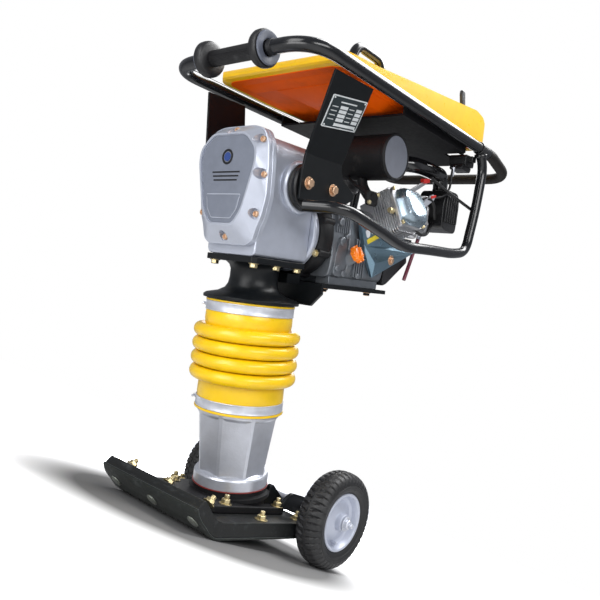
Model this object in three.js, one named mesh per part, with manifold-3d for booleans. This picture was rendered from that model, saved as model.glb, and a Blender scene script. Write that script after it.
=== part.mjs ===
// Jumping jack rammer: a spring foot under a crankcase, with a petrol engine, a rocking handle
// and a yellow tank.
// Millimetres, +Z up. The machine stands on the front edge of its sole and on two wheels.
import * as THREE from "three";
import { ConvexGeometry } from "three/addons/geometries/ConvexGeometry.js";
import { mergeVertices } from "three/addons/utils/BufferGeometryUtils.js";
import Module from "manifold-3d";

const wasm = await Module();
wasm.setup();

// ---- Driving dimensions ------------------------------------------------------------------------
const LEAN = THREE.MathUtils.degToRad(22.3); // leg away from vertical, towards the front
const SOLE_PITCH = THREE.MathUtils.degToRad(13); // sole to the leg's square plane
const TOE = { y: -172.5, z: -37.8 }; // front edge of the sole, in the leg's frame
const BOX_CENTRE_Y = 115.36; // middle of the whole machine behind the toe edge, along the floor
const GAP = 0.3; // between touching pieces

const SHOE = { width: 300, length: 302, thick: 32, plate: 3.6 };
const WHEEL = { x: 183.8, y: 313.2, z: 54.2, radius: 104, half: 31, bore: 10.5 };
const AXLE_R = 10;
const LEG = { ring: 80.6, lip: 96, top: 161.4, bore: 66, seat: 89 };
const GUIDE = { inner: 58, outer: 65, bottom: 60 };
const SPRING_TUBE = { inner: 50, outer: 57, bottom: 12, top: 345 };
const BELLOWS = {
  seat: 89.6, cuff: 92.6, bottom: 162, top: 391,
  wave: 101.5, tip: 13.5, first: 234.8, pitch: 29.7, folds: 4, wall: 3.2,
};
const CASE = { x: 71.5, front: -77, back: 82, base: 473, floor: 485.7, top: 738 };
const MOUNT = { y: 30, z: 642, disc: 50 };
const CRANK_Z = 553; // engine crankshaft height
const DRUM_R = 31;
const GEAR = { z: 634, radius: 47.5 };
const TUBE_R = 14; // main handle tube
const GUARD_R = 12.6;
const HANDLE_X = 200;
const HANDLE_Z = 872;
const FRONT_BAR_Y = -124;
const ROLLER = { ring: 36, ringWidth: 28, ringX: 79, sleeve: 16.4 };
const FAN = { x: -8, z: 548, radius: 96 };
const HOSE = { length: 118, radius: 4.8 };
const TANK_X = 178;
const MUFFLER = { y: 266, z: 757, radius: 53 };
const CYLINDER = { y: 340, fin0: 298, fin1: 382, head: 154 };

const COLOURS = {
  black: [0x15161a, 0.3, 0.2],
  satin: [0x1b1c1e, 0.55, 0.1],
  cast: [0x17181a, 0.8, 0.1],
  rubber: [0x161616, 0.9, 0],
  silver: [0x9a9ca0, 0.45, 0.5],
  alloy: [0xb4b5b8, 0.35, 0.8],
  steel: [0xa8a9ab, 0.3, 0.9],
  zinc: [0xc9b27c, 0.35, 0.8],
  yellow: [0xf7c51d, 0.35, 0],
  bellows: [0xffd60a, 0.3, 0],
  rim: [0xc4c6ca, 0.5, 0.1],
  orange: [0xe2672a, 0.4, 0],
  grey: [0x77797c, 0.6, 0.3],
  purple: [0x5a3038, 0.4, 0],
};

// ---- Geometry helpers --------------------------------------------------------------------------
const v3 = (x, y, z) => new THREE.Vector3(x, y, z);

// A closed geometry as a manifold-3d solid, with its faces turned out.
function solid(geometry) {
  const bare = geometry.clone();
  bare.deleteAttribute("normal");
  bare.deleteAttribute("uv");
  const merged = mergeVertices(bare, 1e-3);
  const triVerts = new Uint32Array(merged.index.array);
  const vertProperties = merged.attributes.position.array;
  const make = () => new wasm.Manifold(new wasm.Mesh({ numProp: 3, vertProperties, triVerts }));
  const first = make();
  if (first.volume() > 0) return first;
  for (let i = 0; i < triVerts.length; i += 3) {
    [triVerts[i + 1], triVerts[i + 2]] = [triVerts[i + 2], triVerts[i + 1]];
  }
  return make();
}

function geometryOf(manifold) {
  const mesh = manifold.getMesh();
  const count = mesh.numProp;
  const points = new Float32Array(mesh.numVert * 3);
  for (let i = 0; i < mesh.numVert; i++) {
    points.set(mesh.vertProperties.subarray(i * count, i * count + 3), i * 3);
  }
  return new THREE.BufferGeometry()
    .setAttribute("position", new THREE.BufferAttribute(points, 3))
    .setIndex(new THREE.BufferAttribute(mesh.triVerts, 1));
}

// The same solid moved, or mirrored to the other side.
function changed(body, change) {
  const g = geometryOf(body);
  change(g);
  return solid(g);
}

const join = (...solids) => solids.reduce((a, b) => a.add(b));
const cut = (body, ...tools) => tools.reduce((a, b) => a.subtract(b), body);

function mesh(name, body, look) {
  const [color, roughness, metalness] = COLOURS[look];
  const geometry = geometryOf(body);
  geometry.computeVertexNormals();
  const result = new THREE.Mesh(geometry, new THREE.MeshStandardMaterial({ color, roughness, metalness }));
  result.name = name;
  return result;
}

const outline = (points) => new THREE.Shape(points.map(([x, y]) => new THREE.Vector2(x, y)));

function prism(points, depth) {
  const options = { depth, bevelEnabled: false, curveSegments: 6, steps: 1 };
  return new THREE.ExtrudeGeometry(outline(points), options);
}

// Outline given as [y, z], extruded from x0 to x1.
function prismX(points, x0, x1) {
  const g = prism(points, x1 - x0);
  g.applyMatrix4(new THREE.Matrix4().makeBasis(v3(0, 1, 0), v3(0, 0, 1), v3(1, 0, 0)));
  return solid(g.translate(x0, 0, 0));
}

// Outline given as [x, z], extruded from y0 to y1.
function prismY(points, y0, y1) {
  const g = prism(points, y1 - y0);
  g.applyMatrix4(new THREE.Matrix4().makeBasis(v3(1, 0, 0), v3(0, 0, 1), v3(0, -1, 0)));
  return solid(g.translate(0, y1, 0));
}

// Outline given as [x, y], extruded from z0 to z1.
const prismZ = (points, z0, z1) => solid(prism(points, z1 - z0).translate(0, 0, z0));

function box(x0, x1, y0, y1, z0, z1) {
  const g = new THREE.BoxGeometry(x1 - x0, y1 - y0, z1 - z0);
  return solid(g.translate((x0 + x1) / 2, (y0 + y1) / 2, (z0 + z1) / 2));
}

// A rectangle with cut corners, for prisms.
function chamfered(x0, x1, y0, y1, c) {
  return [
    [x0 + c, y0], [x1 - c, y0], [x1, y0 + c], [x1, y1 - c],
    [x1 - c, y1], [x0 + c, y1], [x0, y1 - c], [x0, y0 + c],
  ];
}

// A polygon with each corner rounded into n segments.
function rounded(points, radius, n = 3) {
  const out = [];
  points.forEach(([x, y], i) => {
    const [ax, ay] = points[(i + points.length - 1) % points.length];
    const [bx, by] = points[(i + 1) % points.length];
    const p = new THREE.Vector2(x, y);
    const toA = new THREE.Vector2(ax - x, ay - y);
    const toB = new THREE.Vector2(bx - x, by - y);
    const d = Math.min(radius, toA.length() * 0.45, toB.length() * 0.45);
    const start = p.clone().addScaledVector(toA.normalize(), d);
    const end = p.clone().addScaledVector(toB.normalize(), d);
    const arc = new THREE.QuadraticBezierCurve(start, p, end);
    arc.getPoints(n).forEach((q) => out.push([q.x, q.y]));
  });
  return out;
}

// Profile given as [radius, height] about the vertical axis.
function turned(profile, sides = 24) {
  const g = new THREE.LatheGeometry(profile.map(([r, z]) => new THREE.Vector2(r, z)), sides);
  return solid(g.applyMatrix4(new THREE.Matrix4().makeBasis(v3(1, 0, 0), v3(0, 0, 1), v3(0, -1, 0))));
}

const ringProfile = (r0, r1, z0, z1) => [[r0, z0], [r1, z0], [r1, z1], [r0, z1], [r0, z0]];
const discProfile = (r, z0, z1) => [[0, z0], [r, z0], [r, z1], [0, z1]];

// A profile along a direction instead of straight up.
function turnedAlong(profile, from, direction, sides = 24) {
  const q = new THREE.Quaternion().setFromUnitVectors(v3(0, 0, 1), direction.clone().normalize());
  const m = new THREE.Matrix4().compose(from, q, v3(1, 1, 1));
  const g = new THREE.LatheGeometry(profile.map(([r, z]) => new THREE.Vector2(r, z)), sides);
  g.applyMatrix4(new THREE.Matrix4().makeBasis(v3(1, 0, 0), v3(0, 0, 1), v3(0, -1, 0)));
  return solid(g.applyMatrix4(m));
}

const AXIS_X = v3(1, 0, 0);
const AXIS_Y = v3(0, 1, 0);
const alongX = (profile, y, z, sides) => turnedAlong(profile, v3(0, y, z), AXIS_X, sides);
const alongY = (profile, x, z, sides) => turnedAlong(profile, v3(x, 0, z), AXIS_Y, sides);

// Points and the same points mirrored in X, as one closed outline.
const bothSides = (half) => [...half.map(([x, z]) => [-x, z]).reverse(), ...half];

// A path of straight runs joined by rounded corners, with one station where each piece of it ends.
class Route extends THREE.Curve {
  constructor(points, radius, cornerSteps = 5) {
    super();
    this.stations = [points[0].clone()];
    for (let i = 1; i < points.length - 1; i++) {
      const toA = points[i - 1].clone().sub(points[i]);
      const toB = points[i + 1].clone().sub(points[i]);
      const d = Math.min(radius, toA.length() * 0.48, toB.length() * 0.48);
      const start = points[i].clone().addScaledVector(toA.normalize(), d);
      const end = points[i].clone().addScaledVector(toB.normalize(), d);
      this.stations.push(...new THREE.QuadraticBezierCurve3(start, points[i], end).getPoints(cornerSteps));
    }
    this.stations.push(points.at(-1).clone());
  }

  get steps() {
    return this.stations.length - 1;
  }

  getPointAt(u, target = new THREE.Vector3()) {
    return target.copy(this.stations[Math.round(u * this.steps)]);
  }

  getTangentAt(u, target = new THREE.Vector3()) {
    const i = Math.round(u * this.steps);
    const before = this.stations[Math.max(0, i - 1)];
    const after = this.stations[Math.min(this.steps, i + 1)];
    return target.copy(after).sub(before).normalize();
  }
}

function tube(points, radius, { corner = 40, sides = 12, cornerSteps = 5 } = {}) {
  const route = new Route(points.map((p) => v3(...p)), corner, cornerSteps);
  const section = [];
  for (let i = 0; i < sides; i++) {
    const a = (2 * Math.PI * i) / sides;
    section.push(new THREE.Vector2(radius * Math.cos(a), radius * Math.sin(a)));
  }
  const g = new THREE.ExtrudeGeometry(new THREE.Shape(section), { steps: route.steps, extrudePath: route });
  return solid(g);
}

const boltHead = (r, h) => discProfile(r, 0, h);

// ---- Foot: sole, shoe, casting, leg, wheels ----------------------------------------------------
// Outer line of the shoe from rear to toe, as [y, z] behind and above the toe edge.
const SOLE_LINE = [
  [SHOE.length, 9], [SHOE.length - 14, 2.5], [SHOE.length - 34, 0], [150, 0], [0, 0],
  [-18, 8], [-34, 22], [-47, 31], [-58, 42], [-65, 54],
];

// Parallel line inside the shoe at a depth t.
function inset(line, t) {
  return line.map(([y, z], i) => {
    const [ay, az] = line[Math.max(0, i - 1)];
    const [by, bz] = line[Math.min(line.length - 1, i + 1)];
    const n = new THREE.Vector2(-(bz - az), by - ay).normalize().multiplyScalar(-1);
    return [y - n.x * t * -1, z + n.y * t];
  });
}

const TOE_BOLT_DIR = v3(0, -0.63, -0.777); // out of the sloping toe face
const TOE_BOLTS = [-122, 0, 122];

function toeBoltCentre(x, depth) {
  return v3(x, -40, 26).addScaledVector(TOE_BOLT_DIR, -depth);
}

function toeHole(x, r) {
  return turnedAlong(discProfile(r, -30, 60), toeBoltCentre(x, 0), TOE_BOLT_DIR.clone().negate(), 16);
}

function solePlate() {
  const inner = inset(SOLE_LINE, SHOE.plate);
  const line = [...SOLE_LINE, ...inner.reverse()];
  const half = SHOE.width / 2;
  return join(prismX(line, -half, half), ...TOE_BOLTS.map(toeBolt));
}

function shoeBoard() {
  const lower = inset(SOLE_LINE, SHOE.plate + GAP);
  const upper = [[-49, 73], [-36, 62], [-20, 47], [-4, 36], [12, SHOE.thick], [SHOE.length - 3, SHOE.thick]];
  const half = SHOE.width / 2 - 1.5;
  return cut(prismX([...lower, ...upper], -half, half), ...TOE_BOLTS.map((x) => toeHole(x, 7)));
}

function toeBolt(x) {
  const profile = [[0, 2.5], [11.5, 2.5], [12.4, 4], [6.6, 4], [6.6, 44], [11.5, 44], [11.5, 53], [0, 53]];
  return turnedAlong(profile, toeBoltCentre(x, -3), TOE_BOLT_DIR.clone().negate(), 12);
}

const RING_CENTRE = { y: 159.5, z: 75.7 };

// Ribbed casting bolted on the shoe, with a slanting round seat for the leg.
function footCasting() {
  const top = 47;
  const plate = prismZ(rounded([[-96, 24], [96, 24], [96, 262], [-96, 262]], 26), SHOE.thick + GAP, top);
  const seat = v3(0, RING_CENTRE.y, RING_CENTRE.z - GAP);
  const drum = turnedAlong(discProfile(80, -90, 0), seat, legUpInFoot(), 24);
  const flange = turnedAlong(discProfile(88, -22, -12), seat, legUpInFoot(), 24);
  const below = box(-200, 200, -100, 400, -200, top - 4);
  const rib = [[205, top - 3], [268, top - 3], [262, 62], [215, 84]];
  const ribs = [-62, 62].map((x) => prismX(rib, x - 6, x + 6));
  const studs = [[81, 76], [85, 234], [-81, 76], [-85, 234]].map(([x, y]) => footStud(x, y, top - 0.5));
  return join(plate, cut(join(drum, flange), below), ...ribs, ...studs, wheelArm(1), wheelArm(-1));
}

function legUpInFoot() {
  return v3(0, -Math.sin(SOLE_PITCH), Math.cos(SOLE_PITCH));
}

function footStud(x, y, z) {
  const profile = [[0, 0], [13, 0], [13, 2.5], [10.5, 2.5], [10.5, 11], [6, 11], [6, 20], [0, 20]];
  return turnedAlong(profile, v3(x, y, z), v3(0, 0, 1), 6);
}

// Arm from the casting's rear corner to the axle, one each side.
function wheelArm(side) {
  const line = rounded([[226, 44], [262, 80], [322, 72], [332, 54], [320, 38], [286, 36], [258, 44]], 9);
  const hole = alongX(discProfile(AXLE_R + GAP, -200, 200), WHEEL.y, WHEEL.z, 20);
  const x = side * 92;
  return cut(prismX(line, x - 5, x + 5), hole);
}

function axle() {
  const half = WHEEL.x + 38;
  const shaft = alongX(discProfile(AXLE_R, -half, half), WHEEL.y, WHEEL.z, 20);
  const collars = [-1, 1].map((s) => {
    const from = v3(s * (WHEEL.x - 62), WHEEL.y, WHEEL.z);
    return turnedAlong(discProfile(14, 0, 20), from, v3(s, 0, 0), 20);
  });
  return join(shaft, ...collars, axleNut(1), axleNut(-1));
}

function axleNut(side) {
  const from = v3(side * (WHEEL.x + 37), WHEEL.y, WHEEL.z);
  return turnedAlong([[0, 0], [16, 0], [16, 2.5], [11, 2.5], [11, 12], [0, 12]], from, v3(side, 0, 0), 6);
}

function tyre() {
  const r = WHEEL.radius;
  const h = WHEEL.half;
  const profile = [
    [61, -22], [66, -27], [78, -h], [90, -h], [98, -26], [102.5, -18], [r, -7], [r, 7],
    [102.5, 18], [98, 26], [90, h], [78, h], [66, 27], [61, 22], [61, -22],
  ];
  return turnedAlong(profile, v3(0, 0, 0), AXIS_X, 28);
}

function rim() {
  const profile = [
    [WHEEL.bore, -26], [18, -26], [18, -6], [46, -9], [52, -24], [60.6, -24], [60.6, 24],
    [52, 24], [46, 9], [30, 13], [18, 16], [18, 30], [WHEEL.bore, 30], [WHEEL.bore, -26],
  ];
  return turnedAlong(profile, v3(0, 0, 0), AXIS_X, 24);
}

// Ring, eight-sided body and round collar, bored for the guide tube.
function lowerLeg() {
  const corner = 1 / Math.cos(Math.PI / 8);
  const flats = [[0, 20], [69, 20], [71, 42], [81, 146], [84, 152], [0, 152]];
  const line = flats.map(([r, z]) => new THREE.Vector2(r * corner, z));
  const upright = new THREE.Matrix4().makeBasis(v3(1, 0, 0), v3(0, 0, 1), v3(0, -1, 0));
  const body = solid(new THREE.LatheGeometry(line, 8, Math.PI / 8).applyMatrix4(upright));
  const ring = turned(discProfile(LEG.ring, 0, 25.6), 24);
  const { lip, top, seat } = LEG;
  const profile = [[0, 146], [90, 146], [lip, 153], [lip, top], [seat, top], [seat, 186], [0, 186]];
  const collar = turned(profile, 24);
  const bore = turned(discProfile(LEG.bore, 24, 200), 24);
  return cut(join(body, ring, collar), bore);
}

function springTube() {
  const { inner, outer, bottom, top } = SPRING_TUBE;
  const floor = bottom + 26;
  return turned([[0, 24.4], [outer, 24.4], [outer, top], [inner, top], [inner, floor], [0, floor]], 24);
}

function clampBand(z0, z1) {
  return turned(ringProfile(93.1, 95.4, z0, z1), 24);
}

function bellows() {
  const { seat, cuff, wave, tip, first, pitch, folds, wall, bottom, top } = BELLOWS;
  const outer = [[cuff, bottom], [cuff, first - 21]];
  for (let i = 0; i < folds; i++) {
    const z = first + i * pitch;
    for (const a of [-62, -22, 22, 62]) {
      const t = THREE.MathUtils.degToRad(a);
      outer.push([wave + tip * Math.cos(t), z + tip * Math.sin(t) * 0.98]);
    }
  }
  outer.push([cuff, first + (folds - 1) * pitch + 21], [cuff, top]);
  const inner = outer.slice(1, -1).map(([r, z]) => [r - wall, z]).reverse();
  return turned([...outer, [seat, top], ...inner, [seat, bottom], outer[0]], 24);
}

// ---- Upper unit: guide, crankcase, engine ------------------------------------------------------
// Black skirt, neck and square flange, with the guide tube that runs down inside the leg.
function guideTube() {
  const { inner, outer, bottom } = GUIDE;
  const profile = [
    [inner, bottom], [outer, bottom], [outer, 356], [84, 366], [89.2, 366], [89.2, 391.6],
    [103, 393], [103, 400], [66, 412], [54, 424], [52, 440], [52, 460], [60, CASE.base], [60, 478],
    [inner - 22, 478], [inner - 22, 432], [inner, 400], [inner, bottom],
  ];
  const square = chamfered(-CASE.x - 3, CASE.x + 3, CASE.front - 3, CASE.back, 8);
  const plate = prismZ(square, CASE.base, CASE.floor - GAP);
  const hole = turned(discProfile(inner - 22, 380, 520), 24);
  const bolts = [];
  for (const x of [-58, 58]) {
    for (const y of [-64, 2, 70]) {
      bolts.push(turnedAlong(boltHead(9, 11), v3(x, y, CASE.base + 0.5), v3(0, 0, -1), 6));
    }
  }
  return join(cut(join(turned(profile, 24), plate), hole), ...bolts);
}

function crankcase() {
  const { x, front, back, floor, top } = CASE;
  const shell = prismY(bothSides([[22, top], [54, 731], [x, 712], [x, floor]]), front, back);
  const flange = prismY(COVER_OUTLINE, front - 3, front + 9);
  const bosses = [-1, 1].map((s) => {
    const from = v3(s * (x - 1), MOUNT.y, MOUNT.z);
    return turnedAlong(discProfile(52, 0, 12), from, v3(s, 0, 0), 32);
  });
  const hollow = prismY(bothSides([[48, 720], [60, 704], [60, 496]]), front - 20, back - 12);
  const shaftHole = alongY(discProfile(36, 0, 200), 0, CRANK_Z, 24);
  const rodHole = turned(discProfile(34, 400, 500), 24);
  const mountHoles = alongX(discProfile(17, -200, 200), MOUNT.y, MOUNT.z, 20);
  const solids = join(shell, flange, ...bosses);
  return cut(solids, hollow, shaftHole, rodHole, mountHoles);
}

const COVER_HALF = [
  [44, 745], [73, 737], [88, 709], [94, 660], [97, 602], [88, 561], [80, 545], [71, 515], [56, 505],
];
const COVER_OUTLINE = bothSides(COVER_HALF);
const COVER_SCREWS = [
  [76, 714], [89, 645], [79, 568], [0, 520], [0, 735], [-76, 714], [-89, 645], [-79, 568],
];
const PANEL_HALF = [[45, 722], [76, 694], [79, 668], [62, 600], [54, 573], [34, 545]];

// Front cover: a flange, a face that slopes in to a raised flat panel, and eight sunk screws.
function crankcaseCover() {
  const back = CASE.front - 3 - GAP;
  const spots = [...COVER_OUTLINE.map(([x, z]) => v3(x * 0.985, back - 10, 625 + (z - 625) * 0.985))];
  for (const [x, z] of bothSides(PANEL_HALF)) spots.push(v3(x * 1.06, back - 36, 640 + (z - 640) * 1.05));
  const slope = solid(new ConvexGeometry(spots));
  const recess = prismY(bothSides(PANEL_HALF), back - 40, back - 33);
  const pockets = COVER_SCREWS.map(([x, z]) => alongY(discProfile(11, back - 60, back - 13), x, z, 12));
  const screws = COVER_SCREWS.map(([x, z]) => alongY(discProfile(6.5, back - 18, back - 10), x, z, 6));
  const body = join(prismY(COVER_OUTLINE, back - 11, back), slope);
  return join(cut(body, recess, ...pockets), ...screws);
}

// Rubber shock mount with its steel stud, one each side of the case.
function shockMount(side) {
  const r = MOUNT.disc;
  const profile = [[0, -12], [15, -12], [15, 12.3], [r, 12.3], [r, 33], [15, 33], [15, 38], [0, 38]];
  return turnedAlong(profile, v3(side * (CASE.x - 1), MOUNT.y, MOUNT.z), v3(side, 0, 0), 24);
}

function bellHousing() {
  const back = 99;
  const disc = alongY(ringProfile(DRUM_R + 9, 87, CASE.back + GAP, back), 0, CRANK_Z, 24);
  const screws = [40, 90, 140, 220, 270, 320].map((a) => {
    const t = THREE.MathUtils.degToRad(a);
    return alongY(discProfile(7, back - 1, back + 6), 76 * Math.cos(t), CRANK_Z + 76 * Math.sin(t), 6);
  });
  return join(disc, ...screws);
}

function clutchHousing() {
  const y0 = 106;
  const y1 = 139.5;
  const step = y0 + 14;
  const profile = [[52, y0], [92, y0], [98, y0 + 6], [98, y1], [60, y1], [60, step], [52, step], [52, y0]];
  return alongY(profile, 0, CRANK_Z, 24);
}

const FILLER = { from: v3(84, 205, 508), direction: v3(0.9, 0, 0.42) };

function engineBlock() {
  const line = [
    [-78, 462], [88, 462], [96, 500], [92, 560], [74, 634], [-50, 640], [-84, 600], [-84, 500],
  ];
  const block = prismY(rounded(line, 14, 2), 140, 352);
  const filler = turnedAlong(discProfile(17, 0, 30), FILLER.from, FILLER.direction, 16);
  const shaftHole = alongY(discProfile(16, 100, 400), 0, CRANK_Z, 20);
  const feet = [-1, 1].map((s) => box(s * 66 - 18, s * 66 + 18, 150, 344, 448, 470));
  return cut(join(block, filler, ...feet), shaftHole);
}

const CYLINDER_TILT = THREE.MathUtils.degToRad(25);
const CYLINDER_DIR = v3(Math.cos(CYLINDER_TILT), 0, Math.sin(CYLINDER_TILT));

// A block placed on the inclined cylinder: u along the bore, w across it, y along the crankshaft.
function onCylinder(u0, u1, w0, w1, y0, y1) {
  const g = new THREE.BoxGeometry(u1 - u0, y1 - y0, w1 - w0);
  g.translate((u0 + u1) / 2, (y0 + y1) / 2, (w0 + w1) / 2);
  return solid(g.rotateY(-CYLINDER_TILT).translate(0, 0, 578));
}

function engineCylinder() {
  const { fin0, fin1, head } = CYLINDER;
  const core = onCylinder(96, head, -44, 50, fin0 + 8, fin1 - 12);
  const fins = [];
  for (let i = 0; i < 6; i++) {
    const u = 98 + i * 9.6;
    fins.push(onCylinder(u, u + 3.5, -54, 60, fin0, fin1));
  }
  return cut(join(core, ...fins), engineBlockRoom());
}

function engineBlockRoom() {
  const line = [[-78, 455], [88.6, 455], [96.6, 500], [92.6, 560], [74.6, 634.6], [-50, 641]];
  return prismY(line, 130, 352.6);
}

// Flanged base with a six-sided dome on it.
function valveCover() {
  const { y, head } = CYLINDER;
  const base = onCylinder(head + 0.4, head + 10, -46, 54, y - 46, y + 64);
  const line = rounded([[-44, -40], [44, -40], [52, 0], [44, 44], [-44, 44], [-50, 0]], 14, 3);
  const across = v3(-CYLINDER_DIR.z, 0, CYLINDER_DIR.x);
  const g = prism(line, 27);
  g.applyMatrix4(new THREE.Matrix4().makeBasis(AXIS_Y, across, CYLINDER_DIR));
  const foot = v3(0, y + 12, 578).addScaledVector(CYLINDER_DIR, head + 8).addScaledVector(across, 4);
  g.translate(foot.x, foot.y, foot.z);
  return join(base, solid(g));
}

// Cooling sheet beside the block, with a raised fold in it.
function engineShroud() {
  const sheet = [
    [216, 606], [286, 592], [292, 568], [450, 562], [452, 550], [294, 475], [279, 508], [243, 534],
    [238, 546],
  ];
  const fold = [[262, 542], [292, 556], [436, 556], [440, 550], [300, 492]];
  return join(prismX(sheet, 97.2, 106), prismX(fold, 105, 122));
}

function fanHousing() {
  const r = FAN.radius;
  const profile = [
    [30, 353], [r - 8, 353], [r, 362], [r, 420], [r - 10, 446], [60, 462], [30, 462], [30, 353],
  ];
  const skirt = prismX([[354, 458], [372, 464], [458, 526], [450, 548], [400, 556], [354, 520]], 40, 95);
  const hub = alongY(discProfile(60, 340, 480), FAN.x, FAN.z, 24);
  return join(alongY(profile, FAN.x, FAN.z, 24), cut(skirt, hub));
}

function starterCover() {
  const disc = alongY([[0, 461], [66, 461], [62, 474], [24, 480], [0, 480]], FAN.x, FAN.z, 24);
  const guide = box(30, 68, 463, 478, FAN.z + 6, FAN.z + 32);
  return join(fanHousing(), disc, guide);
}

function starterHandle() {
  const grip = box(70, 82, 464, 490, FAN.z - 2, FAN.z + 40);
  return join(grip, box(68.4, 71, 466, 476, FAN.z + 12, FAN.z + 26));
}

function muffler() {
  const { y, z, radius: r } = MUFFLER;
  const profile = [
    [0, -52], [r - 4, -52], [r, -46], [r, 144], [r - 4, 150], [r - 8, 150], [r - 10, 146], [0, 146],
  ];
  const can = alongX(profile, y, z, 24);
  const bends = [[60, 262, 730], [66, 260, 690], [96, 250, 662], [114, 248, 658]];
  const pipe = tube(bends, 12, { corner: 20, sides: 10 });
  const flange = prismX(rounded([[222, 640], [266, 640], [266, 674], [222, 674]], 8), 108, 117);
  return join(can, pipe, flange);
}

function carburettor() {
  const line = [[84, 612], [128, 612], [134, 640], [128, 668], [84, 668]];
  const body = prismY(rounded(line, 8, 2), 410, 452);
  const neck = box(88, 112, 383, 411, 624, 656);
  const profile = [[0, 590], [18, 590], [20, 594], [20, 613], [0, 613]];
  const bowl = turnedAlong(profile, v3(108, 430, 0), v3(0, 0, 1), 20);
  const flange = prismY(rounded([[78, 604], [140, 604], [140, 676], [78, 676]], 12, 2), 452, 460);
  return join(body, neck, bowl, flange);
}

function chokeLever() {
  const line = [[420, 672], [432, 668], [470, 692], [474, 704], [462, 706], [424, 684]];
  return prismX(rounded(line, 4, 2), 141, 145);
}

function airBox() {
  const line = [[528, 628], [606, 620], [612, 700], [600, 730], [540, 732], [524, 700]];
  const shell = prismX(rounded(line, 16, 3), 66, 148);
  const ribs = [0, 1, 2, 3, 4].map((i) => box(146, 152, 536 + i * 14, 542 + i * 14, 640, 716));
  return join(shell, ...ribs);
}

function intakeElbow() {
  const points = [[-59.4, 400, 772], [100, 400, 772], [104, 470, 776], [106, 560, 772], [106, 562, 735]];
  return tube(points, 17, { corner: 40, sides: 10, cornerSteps: 4 });
}

function airCleaner() {
  const profile = [[0, 700], [52, 700], [58, 706], [58, 782], [54, 795], [40, 799], [0, 799]];
  return turnedAlong(profile, v3(-118, 400, 0), v3(0, 0, 1), 24);
}

function intakePipe() {
  const points = [[107, 460.3, 642], [107, 500, 642], [-118, 500, 654], [-118, 400, 664], [-118, 400, 704]];
  return tube(points, 14, { corner: 34, sides: 10 });
}

function engineBase() {
  const plate = prismZ(chamfered(-100, 100, 112.3, 376, 10), 438, 447.6);
  const bolts = [];
  for (const x of [-66, 66]) {
    for (const y of [160, 334]) bolts.push(turnedAlong(boltHead(8, 8), v3(x, y, 438.5), v3(0, 0, -1), 6));
  }
  return join(plate, ...bolts);
}

// Upright plate between the crankcase flange and the engine base, with its lower corners cut off.
function rearBracket() {
  const plate = prismY([[-105, 447], [-105, 424], [-78, 396], [78, 396], [105, 424], [105, 447]], 104, 112);
  const shelf = box(-40, 40, 62, 106, 440, 461);
  return join(plate, shelf);
}

function crankGear() {
  const disc = alongY(discProfile(GEAR.radius, 2, 22), 0, GEAR.z, 24);
  const pin = alongY(discProfile(9, -6, 3), 0, GEAR.z - 28, 20);
  const shaft = alongY(discProfile(12, 21, 69), 0, GEAR.z, 20);
  return join(disc, pin, shaft);
}

function clutchShaft() {
  const pinion = alongY(discProfile(DRUM_R, 2, 22), 0, CRANK_Z, 24);
  const shaft = alongY(discProfile(10, 21, 118), 0, CRANK_Z, 20);
  const drum = alongY(discProfile(50, 108, 119), 0, CRANK_Z, 24);
  return join(pinion, shaft, drum);
}

// Guide rod with its spring plate below and the connecting rod's eye beside the end of the crank pin.
function piston() {
  const rod = turned([[0, 108], [47, 108], [47, 122], [20, 122], [20, 455], [0, 455]], 24);
  const shank = box(-15, 15, -30, -8, 440, 590);
  const eye = alongY(discProfile(24, -30, -8), 0, GEAR.z - 28, 24);
  const hole = alongY(discProfile(10, -60, 20), 0, GEAR.z - 28, 20);
  return cut(join(rod, shank, eye), hole);
}

// ---- Handle ------------------------------------------------------------------------------------
// Height and place in the handle's own plane, which falls a little towards the rear.
const HANDLE_PITCH = -0.045;
const SIDE_END = 625;

function frontBar() {
  const x = HANDLE_X;
  const points = [[x, 40, 0], [x, FRONT_BAR_Y, 0], [-x, FRONT_BAR_Y, 0], [-x, 40, 0]];
  return tube(points, TUBE_R, { corner: 82, sides: 10, cornerSteps: 5 });
}

function sideTube(side) {
  const x = side * HANDLE_X;
  return tube([[x, 40 + GAP, 0], [x, SIDE_END, 0]], TUBE_R, { sides: 10 });
}

function rearGrip() {
  const x = HANDLE_X;
  const half = [[SIDE_END + GAP, 0], [650, 0], [775, -32]];
  const points = [...half.map(([y, z]) => [x, y, z]), ...half.map(([y, z]) => [-x, y, z]).reverse()];
  return tube(points, TUBE_R + 0.6, { corner: 88, sides: 10, cornerSteps: 5 });
}

function guardTube(side) {
  const x = side * HANDLE_X;
  const line = [
    [42, 601], [160, 577], [268, 551], [383, 557], [514, 561], [580, 572], [604, 690], [612, 800],
    [577, 846],
  ];
  const place = (xx, y, z) => [xx, y, z - HANDLE_Z - HANDLE_PITCH * y];
  const points = [place(side * 120, 8, 600), ...line.map(([y, z]) => place(x, y, z))];
  const room = tube([[x, 400, 0], [x, 800, 0]], TUBE_R + 2 * GAP, { sides: 10 });
  return cut(tube(points, GUARD_R, { corner: 46, sides: 10, cornerSteps: 3 }), room);
}

// Corner pairs of each side plate's upper part, from the lower plate up to the side tube, as
// [distance from the middle, front, rear, height].
const SIDE_BENDS = {
  1: [[111.5, -8, 113, 706], [192.4, -44, 82, 853]],
  [-1]: [[111.5, -8, 113, 690], [185, -18, 104, 724], [190.5, -24, 92, 853]],
};

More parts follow.
